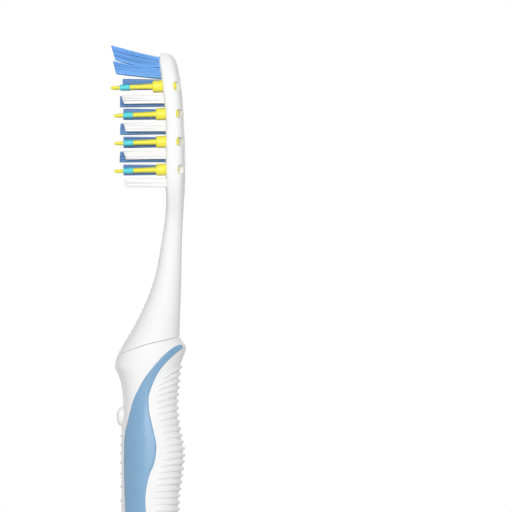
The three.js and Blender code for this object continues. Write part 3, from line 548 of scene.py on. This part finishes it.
rings = []
rows = [(REAR_TOP - RIB_PITCH * (rib + phase), lift) for rib in range(RIBS) for phase, lift in RIB_STEPS]
for level, rib in rows:
    end = min(REAR_TOP - level, level - rows[-1][0])
    ring = []
    for i in range(REAR_COLUMNS + 1):
        share = math.sin(math.pi / 2 * (i / (REAR_COLUMNS / 2) - 1))
        edge = (1 - abs(share)) * REAR_HALF
        border = -REAR_EDGE_DROP * max(0, 1 - min(edge, end) / REAR_ROUND) ** 2
        fade = min(1, max(0, (edge - RIB_FROM) / RIB_FADE)) ** 0.5
        proud = RIB_PROUD + RIB_CROWN * max(0, math.cos(RIB_TURN * share)) ** 1.5
        ring.append(rib_point(level, share, REAR_PROUD + border + proud * rib * fade))
    rings.append(ring)
rear = skin("rear_grip_ribs", rings)
dress(rear, soft_white, "handle", "white_grip", "rear_grip")

# Neck.
# One white moulding with the head: it narrows from the slanting joint to a slim stem, then widens again
# below the split of the head. Its foot is hollow for the end of the motor and the weight.
NECK_FRONT = [(114, -9.2), (116.3, -7.76), (118.8, -6.4), (123.4, -3.7), (127.2, -1.8),
              (131.6, 0.1), (136.3, 1.5), (141.5, 2.45), (146.1, 3.2), (149.9, 3.67), (153.8, 3.8),
              (156.2, 3.71), (167.4, 3.67), (175, 3.5), (177.6, 3.1), (182.1, 2.6), (187.1, 1.9),
              (188, 1.77)]
NECK_BACK = [(114, 7.2), (120.5, 7), (125, 7.1), (130.5, 7.3), (136, 7.43), (142.5, 7.55),
             (148.8, 7.83), (152.4, 8.05), (156.2, 8.3), (163.9, 8.36), (170.3, 8.2), (175, 7.9),
             (179.1, 7.6), (182.7, 7.1), (185.8, 6.4), (188, 5.6)]
NECK_HALF = [(114, 7.9), (117, 7.7), (121, 6.9), (126, 5.4), (132, 4), (138, 3.1), (143, 2.8),
             (147, 2.9), (150, 3.7), (153.5, 5.3), (156, 6.35), (159, 6.75), (164, 6.9), (178, 6.9),
             (182, 6.6), (185, 5.9), (187, 5), (188, 4.5)]
FRONT_SQUARE = [(114, 2.3), (130, 2.2), (145, 2.4), (152, 3.5), (157, 6), (188, 6)]
BACK_SQUARE = [(114, 2.3), (145, 2.3), (157, 2.8), (188, 2.8)]
SLOT_END = 151.1
NECK_ROWS = 90
FOOT_CLEAR = 0.25
MOTOR_END = 118.8
WEIGHT_BAY = 2.9
WEIGHT_END = 123.3
neck_front = smooth(NECK_FRONT, 1.9)
neck_back = smooth(NECK_BACK, 2.0)
neck_half = smooth(NECK_HALF, 2.0)
front_square = smooth(FRONT_SQUARE, 3.0)
back_square = smooth(BACK_SQUARE, 3.0)


def neck_point(z, turn, proud=0.0):
    """The point of the neck's or head's skin at a height and a turn."""
    front = neck_front(z) - proud
    back = neck_back(z) + proud
    square = front_square(z) if math.cos(turn) < 0 else back_square(z)
    x = (front + back) / 2 + (back - front) / 2 * power(math.cos(turn), 2 / square)
    return Vector((x, (neck_half(z) + proud) * power(math.sin(turn), 2 / square), z))


foot_level = parting(0) + JOINT_HALF
rings = [[slanted(neck_point, foot_level, 1, t, -JOINT_LIP) for t in turns]]
rings += [[slanted(neck_point, foot_level + d, 1, t, -inset) for t in turns] for d, inset in ROLLED_EDGE]
for k in range(1, NECK_ROWS + 1):
    part = k / NECK_ROWS
    level = foot_level + FOOT_CLEAR + (SLOT_END - foot_level - FOOT_CLEAR) * part
    share = (1 - part) ** SLANT_EASE
    rings.append([slanted(neck_point, level, share, t, 0) for t in turns])
neck = roll("neck_stem", rings)
carve(neck, motor_rod(MOTOR_BAY, BAY_LOW, MOTOR_END))
carve(neck, motor_rod(WEIGHT_BAY, BAY_LOW, WEIGHT_END))
dress(neck, white_plastic, "handle", "white_plastic", "neck_shell")

# Head halves.
# The neck splits into two flexing prongs with a winding gap between them, flat walls along the gap and
# rounded tips. Each prong has four windows in its side, where the feet of its pins show.
GAP_MIDDLE = [(151.1, 0), (159.6, 0.05), (160.3, -0.1), (161.7, -1.25), (162.5, -1.4),
              (165.7, -1.4), (166.7, -1.1), (169, 1.15), (170, 1.4), (172.1, 1.4), (172.9, 1.15),
              (174.1, -1.15), (174.9, -1.4), (177.4, -1.4), (178.3, -1.1), (180.1, 1.05),
              (181, 1.3), (182.9, 1.3), (183.6, 1), (184.6, -0.5), (185.3, -0.72), (188, -0.75)]
GAP_HALF = [(151.1, 0), (151.16, 0.17), (151.25, 0.27), (151.4, 0.35), (151.8, 0.42), (152.4, 0.4),
            (153.6, 0.32), (160, 0.42), (161, 0.52), (173, 0.6), (182, 0.65), (184.4, 0.75),
            (188, 0.8)]
SLOT_STEPS = [0, 0.03, 0.08, 0.15, 0.3]
PRONG_HIGH = 34.2
PRONG_ROWS = 190
TIP_ROWS = 18
EDGE_SHARP = 0.02
EDGE_SOFT = 0.24
EDGE_SOFTENS = 1.2
TIP_BEND = 184.6
TIP_CLOSE = 188.3
TIP_DRAWN = 1.7
HEAD_TOP = 188
# A section starts a little past the front, runs over the side and ends past the back, in half turns
SECTION_FROM = 1.25
SECTION_SWEEP = 1.5
SECTION_STEPS = 720
PIN_HEIGHTS = [180.2, 173.6, 167.0, 160.4]
PIN_Y = 5.35
WINDOW_TURN = math.radians(37)
WINDOW_X = 3.45
WINDOW_Y = 1.1
WINDOW_OUT = 0.75
WINDOW_SIZE = (2.2, 5.3, 2.05)
WINDOW_ROUND = 0.55
# How far each window, and the foot in it, is set back from the pin's own line
WINDOW_BACK = [0.45, 0.1, 0.15, 0.6]
FOOT_BACK = [0.36, 0.08, 0.12, 0.1]
gap_middle = smooth(GAP_MIDDLE)
gap_half = smooth(GAP_HALF)


def gap_edge(side, z):
    """How far across the brush a prong starts, at a height."""
    edge = gap_middle(z) + side * gap_half(z)
    past = min(max((z - TIP_BEND) / (TIP_CLOSE - TIP_BEND), 0), 1)
    return edge + side * TIP_DRAWN * (1 - math.sqrt(1 - past * past))


def rounded(start, knee, stop, steps):
    """Points round a corner, without its two ends."""
    parts = [k / steps for k in range(1, steps)]
    return [start.lerp(knee, part).lerp(knee.lerp(stop, part), part) for part in parts]


def half_ring(side, z, bend, arc=64, corner=6, wall=12):
    """The section of a prong: round the outside from front to back, then along the wall of the gap."""
    edge = gap_edge(side, z)
    points = []
    for i in range(SECTION_STEPS + 1):
        turn = math.pi * (SECTION_FROM - SECTION_SWEEP * i / SECTION_STEPS)
        point = neck_point(z, side * turn)
        if side * (point.y - edge) >= 0:
            points.append(point)
    for end in (0, -1):
        points[end].y = edge
    lengths = [0]
    for a, b in zip(points, points[1:]):
        lengths.append(lengths[-1] + (b - a).length)

    def spot(length):
        i = min(max(bisect_right(lengths, length) - 1, 0), len(points) - 2)
        t = (length - lengths[i]) / max(lengths[i + 1] - lengths[i], 1e-9)
        return points[i].lerp(points[i + 1], t)

    total = lengths[-1]
    front, back = points[0], points[-1]
    inward = (front - back).normalized()
    wall_back, wall_front = back + inward * bend, front - inward * bend
    outside = [spot(bend + (total - 2 * bend) * i / (arc - 1)) for i in range(arc)]
    ring = outside + rounded(outside[-1], back, wall_back, corner)
    ring += [wall_back.lerp(wall_front, i / wall) for i in range(wall + 1)]
    return ring + rounded(wall_front, front, outside[0], corner)


for side, name in SIDES:
    levels = [SLOT_END + step for step in SLOT_STEPS]
    levels += [levels[-1] + PRONG_HIGH * k / PRONG_ROWS for k in range(1, PRONG_ROWS + 1)]
    rings = []
    for z in levels:
        softened = min(1, max(0, (z - SLOT_END) / EDGE_SOFTENS))
        rings.append(half_ring(side, z, EDGE_SHARP + (EDGE_SOFT - EDGE_SHARP) * softened))
    for k in range(1, TIP_ROWS + 1):
        angle = math.pi / 2 * k / TIP_ROWS
        ring = half_ring(side, levels[-1] + (HEAD_TOP - levels[-1]) * math.sin(angle), EDGE_SOFT)
        centre = sum(ring, Vector()) / len(ring)
        spread = math.cos(angle) ** 0.5 if k < TIP_ROWS else 0
        rings.append([centre.lerp(p, spread) for p in ring])
    half = roll(f"{name}_head_prong", rings)

    for z, shift in zip(PIN_HEIGHTS, WINDOW_BACK):
        place = Vector((neck_front(z) + shift + WINDOW_X + WINDOW_OUT * math.sin(WINDOW_TURN),
                        side * (PIN_Y + WINDOW_Y + WINDOW_OUT * math.cos(WINDOW_TURN)), z))
        bpy.ops.object.select_all(action="DESELECT")
        bpy.ops.mesh.primitive_cube_add(size=MM, location=place * MM, scale=WINDOW_SIZE)
        window = bpy.context.object
        bpy.ops.object.transform_apply(location=False, rotation=True, scale=True)
        bpy.ops.object.mode_set(mode="EDIT")
        bpy.ops.mesh.select_all(action="DESELECT")
        bpy.ops.object.mode_set(mode="OBJECT")
        for line in window.data.edges:
            a, b = (window.data.vertices[i].co for i in line.vertices)
            line.select = abs(a.y - b.y) > MM
        bpy.ops.object.mode_set(mode="EDIT")
        bpy.ops.mesh.select_mode(type="EDGE")
        bpy.ops.mesh.bevel(offset=WINDOW_ROUND * MM, segments=8, affect="EDGES")
        bpy.ops.object.mode_set(mode="OBJECT")
        window.rotation_euler.z = -side * WINDOW_TURN
        bpy.ops.object.transform_apply(location=True, rotation=True, scale=True)
        carve(half, window)
    half.data.materials.append(white_plastic)
    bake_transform(half)
    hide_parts(f"{name}_head_half")

# Elastomer pins.
# Yellow moulded pins, four to a prong: a foot held in the window, a stem through the face, a round collar
# outside it, a flattened blade, and a thin core that a separate cyan band is pushed onto.
# Stations along a pin and a band: distance behind the face, half width and half height
PIN_STATIONS = [(2.3, 0, 0), (2.3, 0.6, 0.6), (2.2, 0.65, 0.65), (0.4, 0.65, 0.65), (0.12, 1.28, 1.28),
                (0, 1.35, 1.35), (-0.1, 1.37, 1.37), (-1.85, 1.37, 1.37), (-2.05, 1.33, 1.33),
                (-2.15, 1.24, 1.22), (-2.18, 1.1, 1.02), (-2.2, 1.02, 0.76), (-2.35, 0.99, 0.68),
                (-3.5, 0.98, 0.63), (-5.2, 1, 0.59), (-7.2, 1.06, 0.57), (-7.6, 1.07, 0.57),
                (-7.7, 0.9, 0.5), (-9.8, 0.85, 0.45), (-10.1, 0.84, 0.44), (-11, 0.66, 0.41),
                (-11.7, 0.46, 0.37), (-12.05, 0.28, 0.28), (-12.18, 0.12, 0.12), (-12.2, 0, 0)]
BAND_STATIONS = [(-7.62, 0.8, 0.4), (-7.64, 1.05, 0.62), (-7.7, 1.13, 0.7), (-7.85, 1.17, 0.74),
                 (-9.75, 1.08, 0.66), (-9.92, 1.04, 0.62), (-9.98, 0.96, 0.54), (-10, 0.7, 0.4)]
PIN_DROOP = 0.036
FOOT_PLACE = (2.23, 0.39, 0)
FOOT_SIZE = (0.95, 1.8, 1.7)
FOOT_ROUND = 0.22
# The stem leans back to its foot from this far behind the face, over the same distance again
STEM_BEND = 0.8
yellow = moulded((0.89, 0.79, 0.05), (0.96, 0.89, 0.08), 1.5, (0.38, 0.14, 0.8), (0.09, 0.015, 0.3))
cyan = moulded((0.085, 0.65, 0.72), (0.115, 0.73, 0.79), 1.2, (0.36, 0.14, 0.7), (0.08, 0.012, 0.3))
yellow_elastomer = finish("yellow_elastomer", yellow)
cyan_elastomer = finish("cyan_elastomer", cyan)


def lathe(name, stations, count=28):
    """A piece turned along the brush's front, from stations."""
    return roll(name, [across_ring(x, half_y, half_z, 0, count) for x, half_y, half_z in stations])


pin = lathe("pin", PIN_STATIONS)
bpy.ops.mesh.primitive_cube_add(size=MM, location=Vector(FOOT_PLACE) * MM, scale=FOOT_SIZE,
                                rotation=(0, 0, -WINDOW_TURN))
foot = bpy.context.object
bpy.ops.object.transform_apply(location=True, rotation=True, scale=True)
bpy.ops.object.mode_set(mode="EDIT")
bpy.ops.mesh.select_all(action="SELECT")
bpy.ops.mesh.bevel(offset=FOOT_ROUND * MM, segments=4, affect="EDGES")
bpy.ops.object.mode_set(mode="OBJECT")
bpy.ops.object.shade_smooth_by_angle(angle=CREASE)
pin.select_set(True)
bpy.context.view_layer.objects.active = pin
bpy.ops.object.join()
band = lathe("band", BAND_STATIONS)
for side, name in SIDES:
    for number, (z, shift) in enumerate(zip(PIN_HEIGHTS, FOOT_BACK), 1):
        face = neck_front(z)
        for model, label, material, slot in ((pin, "pin", yellow_elastomer, "yellow_elastomer"),
                                             (band, "pin_band", cyan_elastomer, "cyan_elastomer")):
            made = model.copy()
            made.data = model.data.copy()
            bpy.context.collection.objects.link(made)
            made.name = f"{name}_{label}_{number}_soft"
            for vertex in made.data.vertices:
                x, y, height = vertex.co
                droop = PIN_DROOP * min(x, 0)
                x += shift * min(max(x - STEM_BEND * MM, 0), STEM_BEND * MM) / STEM_BEND
                vertex.co = (x + face * MM, side * (y + PIN_Y * MM), height + droop + z * MM)
            if side < 0:
                made.data.flip_normals()
            dress(made, material, f"{name}_head", slot, f"{name}_{label}_{number}")
for model in (pin, band):
    bpy.data.objects.remove(model)

# Tufts.
# Nylon strands, folded in bundles into the face of each prong: white outside, blue inside, and two long
# blue tufts at the tip that sweep up. Each strand is thin, and its end is rounded.
# Places along a strand, with the share of its thickness there
STRAND_STATIONS = [(0.35, 1), (-1, 1), (-3, 1), (-5, 1), (-7, 1), (-8.6, 1), (-9.7, 0.86), (-10, 0.4)]
STRAND_LONG = 10
STRAND_R = 0.112
STRAND_SIDES = 5
STRAND_PITCH = 0.21
LEAN = 0.05
LEAN_OUT = 0.03
SCATTER = 0.02
UNEVEN = 0.05
CORNER_CUT = 0.12
CORNER_FROM = 1.35
CORNER_PULL = 0.03
# Strands across and up, then where each kind of tuft stands, its length and its cut
WHITE_STRANDS = (8, 9)
WHITE_Y = 5.0
WHITE_BELOW = 3.2
WHITE_LONG = 9.95
WHITE_CUT = 0.55
INNER_STRANDS = (6, 11)
INNER_Y = 3.1
INNER_UP = (0.4, -0.1, -0.1, -0.1)
INNER_LONG = (9.25, 9.95, 10, 10)
BETWEEN_BELOW = 3.65
BETWEEN_LONG = (10.35, 10.7, 10.8)
BETWEEN_CUT = -0.1
TIP_STRANDS = (10, 12)
TIP_Y = 3.5
# Height, length, rise, flare, cut and curl of the two tip tufts
TIP_TUFTS = [(185.83, 11.3, 2.4, 0.075, 0.9, 0.6), (183.25, 11.2, 1.37, 0.05, 0.7, -0.6)]


def bristle(name, low, high, **fixed):
    """Nylon, with faint streaks along the strands."""
    def paint(place):
        streak = place.noise(0.22, 1.0, (0.03, 1, 1))
        return {"Base Color": streak.between(low, high), "Roughness": 0.34 + 0.16 * place.noise(0.6)}

    return finish(name, paint, **fixed)


white_bristle = bristle("white_bristle", (0.9, 0.9, 0.9), (0.97, 0.97, 0.965), Sheen_Weight=0.4)
inner_blue = bristle("inner_blue_bristle", (0.061, 0.221, 0.526), (0.099, 0.300, 0.647))
tip_blue = bristle("tip_blue_bristle", (0.092, 0.355, 0.833), (0.126, 0.420, 0.878))


def tuft(y, z, across, high, length, seed, rise=0.0, flare=0.02, cut=0.0, curl=0.0):
    """A bundle of strands on the face: one strand, arrayed both ways, then each set in its own lean.
    rise lifts the ends, flare spreads them, cut shortens the lower strands and curl bends those more."""
    bundle = lathe("tuft", [(s, STRAND_R * w, STRAND_R * w) for s, w in STRAND_STATIONS], STRAND_SIDES)
    size = len(bundle.data.vertices)
    for count, axis in ((across, 1), (high, 2)):
        rows = bundle.modifiers.new("rows", "ARRAY")
        rows.count = count
        rows.use_relative_offset = False
        rows.use_constant_offset = True
        offset = [0, 0, 0]
        offset[axis] = STRAND_PITCH * MM
        rows.constant_offset_displace = offset
        bpy.ops.object.modifier_apply(modifier="rows")
    chance = random.Random(seed)
    face = neck_front(z)
    for strand in range(across * high):
        column = strand % across - (across - 1) / 2
        row = strand // across - (high - 1) / 2
        corner = abs(column) / (across / 2) + abs(row) / (high / 2)
        lean_y = chance.gauss(0, LEAN) + LEAN_OUT * column
        lean_z = chance.gauss(0, LEAN) + flare * row
        near = chance.gauss(0, SCATTER), chance.gauss(0, SCATTER)
        reach = length + chance.gauss(0, UNEVEN)
        reach -= cut * (0.5 - row / (high - 1)) + CORNER_CUT * max(0, corner - 1) ** 2
        pitch = STRAND_PITCH - CORNER_PULL * max(0, corner - CORNER_FROM)
        bend = 0.5 - curl * row / (high - 1)
        for index in range(strand * size, (strand + 1) * size):
            x, wy, wz = bundle.data.vertices[index].co / MM
            wy -= (strand % across) * STRAND_PITCH
            wz -= (strand // across) * STRAND_PITCH
            part = max(0, -x / STRAND_LONG)
            lifted = rise * (1 - bend + bend * part) * part
            bundle.data.vertices[index].co = Vector((
                face + (x if x > 0 else -reach * part),
                y + wy + column * pitch + near[0] + lean_y * part,
                z + wz + row * pitch + near[1] + lean_z * part + lifted)) * MM
    return bundle


def gather(name, bundles, material, body, slot, *nodes):
    """Joins bundles into one piece."""
    bpy.ops.object.select_all(action="DESELECT")
    for bundle in bundles:
        bundle.select_set(True)
    bpy.context.view_layer.objects.active = bundles[0]
    bpy.ops.object.join()
    bundles[0].name = name
    dress(bundles[0], material, body, slot, *nodes)


for side, name in SIDES:
    body = f"{name}_head"
    white = [tuft(side * WHITE_Y, z - WHITE_BELOW, *WHITE_STRANDS, WHITE_LONG, 10 * i + side,
                  cut=WHITE_CUT)
             for i, z in enumerate(PIN_HEIGHTS)]
    gather(f"{name}_white_strands", white, white_bristle, body, "white_bristle", f"{name}_white_tufts")
    inner = [tuft(side * INNER_Y, z + up, *INNER_STRANDS, length, 100 + 10 * i + side)
             for i, (z, up, length) in enumerate(zip(PIN_HEIGHTS, INNER_UP, INNER_LONG))]
    inner += [tuft(side * INNER_Y, z - BETWEEN_BELOW, *INNER_STRANDS, length, 200 + 10 * i + side,
                   cut=BETWEEN_CUT)
              for i, (z, length) in enumerate(zip(PIN_HEIGHTS, BETWEEN_LONG))]
    gather(f"{name}_inner_strands", inner, inner_blue, body, "blue_bristle", f"{name}_blue_tufts")
    tip = [tuft(side * TIP_Y, z, *TIP_STRANDS, length, 300 + 10 * i + side, rise, flare, cut, curl)
           for i, (z, length, rise, flare, cut, curl) in enumerate(TIP_TUFTS)]
    gather(f"{name}_tip_strands", tip, tip_blue, body, "blue_bristle")

# End cap.
# A white cap that closes the cell's bore: flat base, rounded rim, a round plug with a groove for its
# ring, and a hollow that takes the contact plate and the spring.
# Heights up the cap's skirt, and how far it stands out there
CAP_ROWS = [(0, -0.35), (0.06, -0.12), (0.2, 0), (0.5, 0), (0.9, 0), (1.5, 0), (2.5, 0), (4, 0), (6, 0)]
PLUG_R = 5.3
PLUG_TOP = 13
GROOVE_R = 4.5
GROOVE_LOW = 10.4
GROOVE_HIGH = 11.6
HOLLOW_R = 3.7
HOLLOW_FLOOR = 4
# Radius and height down the plug, from the seam over its top into the hollow
PLUG_OUTLINE = [(PLUG_R + 0.15, 8.94), (PLUG_R, 9.1), (PLUG_R, GROOVE_LOW), (GROOVE_R, GROOVE_LOW),
                (GROOVE_R, GROOVE_HIGH), (PLUG_R, GROOVE_HIGH), (PLUG_R, PLUG_TOP - 0.3),
                (PLUG_R - 0.1, PLUG_TOP - 0.08), (PLUG_R - 0.3, PLUG_TOP), (HOLLOW_R + 0.1, PLUG_TOP),
                (HOLLOW_R, PLUG_TOP - 0.1), (HOLLOW_R, HOLLOW_FLOOR), (0, HOLLOW_FLOOR)]
cap_high = CAP_SEAM - SEAM_HALF
rings = [round_ring(0, 0)]
rings += [[handle_point(z, t, proud) for t in turns] for z, proud in CAP_ROWS]
rings += [[handle_point(cap_high - d, t, -inset) for t in turns] for d, inset in reversed(ROLLED_EDGE)]
rings += [round_ring(r, z) for r, z in PLUG_OUTLINE]
cap = roll("end_cap_moulding", rings)
dress(cap, white_plastic, "cap", "white_plastic", "end_cap")

# Ring, contact plate and spring of the cap.
# A black rubber ring seals the plug, and a coiled steel spring on a plated contact presses on the cell.
SEAL_R = 4.98
SEAL_Z = 11
SEAL_WIRE = 0.3
SEAL_STEPS = 96
SEAL_SIDES = 16
PLATE_OUTLINE = [(0, 4.3), (3.3, 4.3), (3.4, 4.36), (3.4, 4.72), (3.32, 4.8), (2.0, 4.8), (1.9, 4.72),
                 (1.7, 4.72), (1.6, 4.8), (0, 4.8)]
SPRING_R = 2.8
SPRING_WIRE = 0.3
SPRING_LOW = 5.4
SPRING_HIGH = 14.55
SPRING_COILS = 4.5
SPRING_STEPS = 216
SPRING_CLOSED = 0.35


def steel_paint(place):
    return {"Base Color": place.noise(2.0).between((0.56, 0.57, 0.58), (0.68, 0.69, 0.70)),
            "Roughness": 0.2 + 0.2 * place.noise(0.3, 2.0, (1, 1, 0.1)),
            "Normal": place.noise(0.1, 2.0, (1, 1, 0.05)).bump(0.008, 0.3)}


rubber = moulded((0.012, 0.012, 0.013), (0.03, 0.03, 0.032), 1.4, (0.55, 0.2, 0.4), (0.08, 0.02, 0.4))
plated = moulded((0.62, 0.44, 0.24), (0.78, 0.60, 0.36), 1.5, (0.22, 0.2, 0.4), (0.1, 0.008, 0.3))
black_rubber = finish("black_rubber", rubber)
steel = finish("steel", steel_paint, Metallic=1.0)
contact_metal = finish("contact_metal", plated, Metallic=1.0)


def turned(name, outline, count=64):
    """An upright turned piece: its outline is a list of a radius and a height."""
    return roll(name, [round_ring(r, z, count=count) for r, z in outline])


def tube(name, path, radius, sides=12):
    """A wire of one thickness along a path, with its ends closed."""
    rings = []
    for i, point in enumerate(path):
        ahead = (path[min(i + 1, len(path) - 1)] - path[max(i - 1, 0)]).normalized()
        out = Vector((point.x, point.y, 0)).normalized()
        up = ahead.cross(out).normalized()
        out = up.cross(ahead)
        angles = [2 * math.pi * k / sides for k in range(sides)]
        rings.append([point + radius * (math.cos(a) * out + math.sin(a) * up) for a in angles])
    return roll(name, rings)


rings = []
for i in range(SEAL_STEPS + 1):
    swing = 2 * math.pi * i / SEAL_STEPS
    ring = []
    for k in range(SEAL_SIDES):
        angle = 2 * math.pi * k / SEAL_SIDES
        out = SEAL_R + SEAL_WIRE * math.cos(angle)
        z = SEAL_Z + SEAL_WIRE * math.sin(angle)
        ring.append(Vector((out * math.cos(swing), out * math.sin(swing), z)))
    rings.append(ring)
seal = roll("cap_ring_rubber", rings)
dress(seal, black_rubber, "cap", "black_rubber", "cap_ring")

plate = turned("cap_plate_contact", PLATE_OUTLINE)
dress(plate, contact_metal, "cap", "contact_metal", "cap_plate")

path = []
for i in range(SPRING_STEPS + 1):
    part = i / SPRING_STEPS
    climb = part * part * (3 - 2 * part) * SPRING_CLOSED + part * (1 - SPRING_CLOSED)
    angle = 2 * math.pi * SPRING_COILS * part
    path.append(Vector((SPRING_R * math.cos(angle), SPRING_R * math.sin(angle),
                        SPRING_LOW + (SPRING_HIGH - SPRING_LOW) * climb)))
spring = tube("cap_spring_wire", path, SPRING_WIRE)
dress(spring, steel, "cap", "steel", "cap_spring")

# Cell.
# A slim cylindrical cell: a steel can in a plain sleeve of two colours, crimped at the top round a seal
# with the raised button in its middle.
CELL_LOW = 15.2
CELL_TOP = 58.7
COPPER_FROM = 47.5
# Radius and height of the can, the seal and the button
CAN_OUTLINE = [(0, CELL_LOW), (4.1, CELL_LOW), (4.3, CELL_LOW + 0.12), (4.5, CELL_LOW + 0.1),
               (4.9, CELL_LOW + 0.16), (5.05, CELL_LOW + 0.3), (5.1, CELL_LOW + 0.5),
               (5.1, CELL_TOP - 1.3), (5.05, CELL_TOP - 1.0), (4.9, CELL_TOP - 0.86),
               (4.6, CELL_TOP - 0.8), (0, CELL_TOP - 0.8)]
SEAL_OUTLINE = [(2.2, CELL_TOP - 0.5), (4.5, CELL_TOP - 0.5), (4.6, CELL_TOP - 0.42),
                (4.6, CELL_TOP - 0.08), (4.5, CELL_TOP), (2.3, CELL_TOP), (2.2, CELL_TOP - 0.1),
                (2.2, CELL_TOP - 0.5)]
NUB_OUTLINE = [(0, CELL_TOP - 0.5), (1.9, CELL_TOP - 0.5), (1.9, CELL_TOP + 0.62),
               (1.82, CELL_TOP + 0.82), (1.62, CELL_TOP + 0.9), (0, CELL_TOP + 0.9)]


def jacket_paint(place):
    height = place.node("ShaderNodeSeparateXYZ", {}, {"Vector": place}, "Z")
    copper = height.combine("GREATER_THAN", height, COPPER_FROM * MM)
    return {"Base Color": copper.between((0.045, 0.075, 0.14), (0.60, 0.40, 0.20)),
            "Roughness": 0.24 + 0.14 * place.noise(1.5),
            "Normal": place.noise(0.2, 2.0).bump(0.01, 0.2)}


cell_jacket = finish("cell_jacket", jacket_paint, Metallic=0.6, Coat_Weight=0.4)
can = turned("cell_can_sleeve", CAN_OUTLINE, 96)
dress(can, cell_jacket, "cell", "cell_jacket", "cell_can")
seal_top = turned("cell_seal_disc", SEAL_OUTLINE)
dress(seal_top, black_rubber, "cell", "black_plastic", "cell_seal")
nub = turned("cell_button_cup", NUB_OUTLINE)
dress(nub, steel, "cell", "steel", "cell_button")

# Switch, chassis, contacts and motor.
# Hidden in the handle, so the frame's own solids serve, with the finish of moulded grey and black
# plastic, plated contacts and bright steel.
grey = moulded((0.30, 0.32, 0.34), (0.36, 0.38, 0.40), 3.0, (0.45, 0.15, 0.8), (0.15, 0.01, 0.3))
grey_plastic = finish("grey_plastic", grey)
for node, material in (("chassis", grey_plastic), ("switch_body", black_rubber),
                       ("switch_plunger", black_rubber), ("positive_contact", contact_metal),
                       ("negative_strip", contact_metal), ("motor_can", steel),
                       ("motor_end_bell", white_plastic), ("motor_sleeve", black_rubber),
                       ("motor_shaft", steel), ("eccentric_weight", steel)):
    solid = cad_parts[node]
    solid.data.materials.clear()
    solid.data.materials.append(material)

# Stage.
# A pale round floor under the upright brush, a white surround, a large soft lamp in front, weaker ones to
# the right and behind, and the camera square on to the side.
FLOOR_R = 0.45
FLOOR_Z = -0.0002
FLOOR_GREY = (0.62, 0.62, 0.62, 1)
FLOOR_GLOW = 0.5
WHITE = (1, 1, 1, 1)
AMBIENT = 0.42
VIEW_MIDDLE = (25.2, 139.8)
VIEW_WIDE = 121.9
FAR = 2.5
SENSOR = 36


def background_rays(tree):
    """1 where the background is looked at, straight or in a reflection, and 0 where it gives light."""
    path = Signal(tree).node("ShaderNodeLightPath", {}, {}, "Is Camera Ray")
    outputs = path.socket.node.outputs
    total = path + Signal(tree, outputs["Is Glossy Ray"]) + Signal(tree, outputs["Is Transmission Ray"])
    return total.combine("MINIMUM", total, 1.0)


bpy.ops.object.select_all(action="DESELECT")
bpy.ops.mesh.primitive_circle_add(vertices=96, radius=FLOOR_R, fill_type="NGON", location=(0, 0, FLOOR_Z))
floor = bpy.context.object
floor.name = "floor"
material = bpy.data.materials.new("floor_white")
material.use_nodes = True
tree = material.node_tree
shader = tree.nodes["Principled BSDF"]
shader.inputs["Base Color"].default_value = FLOOR_GREY
shader.inputs["Roughness"].default_value = 0.9
start = Signal(tree)
glow = start.node("ShaderNodeEmission", {}, {"Strength": background_rays(tree) * FLOOR_GLOW})
both = start.node("ShaderNodeAddShader", {}, {0: glow, 1: Signal(tree, shader.outputs[0])})
tree.links.new(both.socket, tree.nodes["Material Output"].inputs["Surface"])
floor.data.materials.append(material)

world = bpy.context.scene.world or bpy.data.worlds.new("surround")
bpy.context.scene.world = world
world.use_nodes = True
tree = world.node_tree
tree.nodes.clear()
start = Signal(tree)
dim = start.node("ShaderNodeBackground", {}, {"Color": WHITE, "Strength": AMBIENT})
bright = start.node("ShaderNodeBackground", {}, {"Color": WHITE, "Strength": 1.0})
mixed = start.node("ShaderNodeMixShader", {}, {0: background_rays(tree), 1: dim, 2: bright})
out = tree.nodes.new("ShaderNodeOutputWorld")
tree.links.new(mixed.socket, out.inputs["Surface"])


def lamp(name, place, aim, size, watts):
    """A square soft lamp, turned to what it lights."""
    data = bpy.data.lights.new(name, "AREA")
    data.size = size
    data.energy = watts
    made = bpy.data.objects.new(name, data)
    made.location = place
    made.rotation_euler = (Vector(aim) - Vector(place)).to_track_quat("-Z", "Y").to_euler()
    bpy.context.collection.objects.link(made)


lamp("front_lamp", (-0.05, -0.75, 0.3), (0, 0, 0.13), 0.34, 3.7)
lamp("right_lamp", (0.7, 0.25, 0.3), (0, 0, 0.13), 0.4, 0.55)
lamp("back_lamp", (0, 0.74, 0.36), (0, 0, 0.13), 0.4, 1.8)

lens = bpy.data.cameras.new("side_camera")
lens.sensor_width = SENSOR
lens.lens = SENSOR * FAR / (VIEW_WIDE * MM)
camera = bpy.data.objects.new("side_camera", lens)
camera.location = (VIEW_MIDDLE[0] * MM, -FAR, VIEW_MIDDLE[1] * MM)
camera.rotation_euler = (math.pi / 2, 0, 0)
bpy.context.collection.objects.link(camera)
bpy.context.scene.camera = camera
bpy.context.scene.view_settings.view_transform = "Standard"
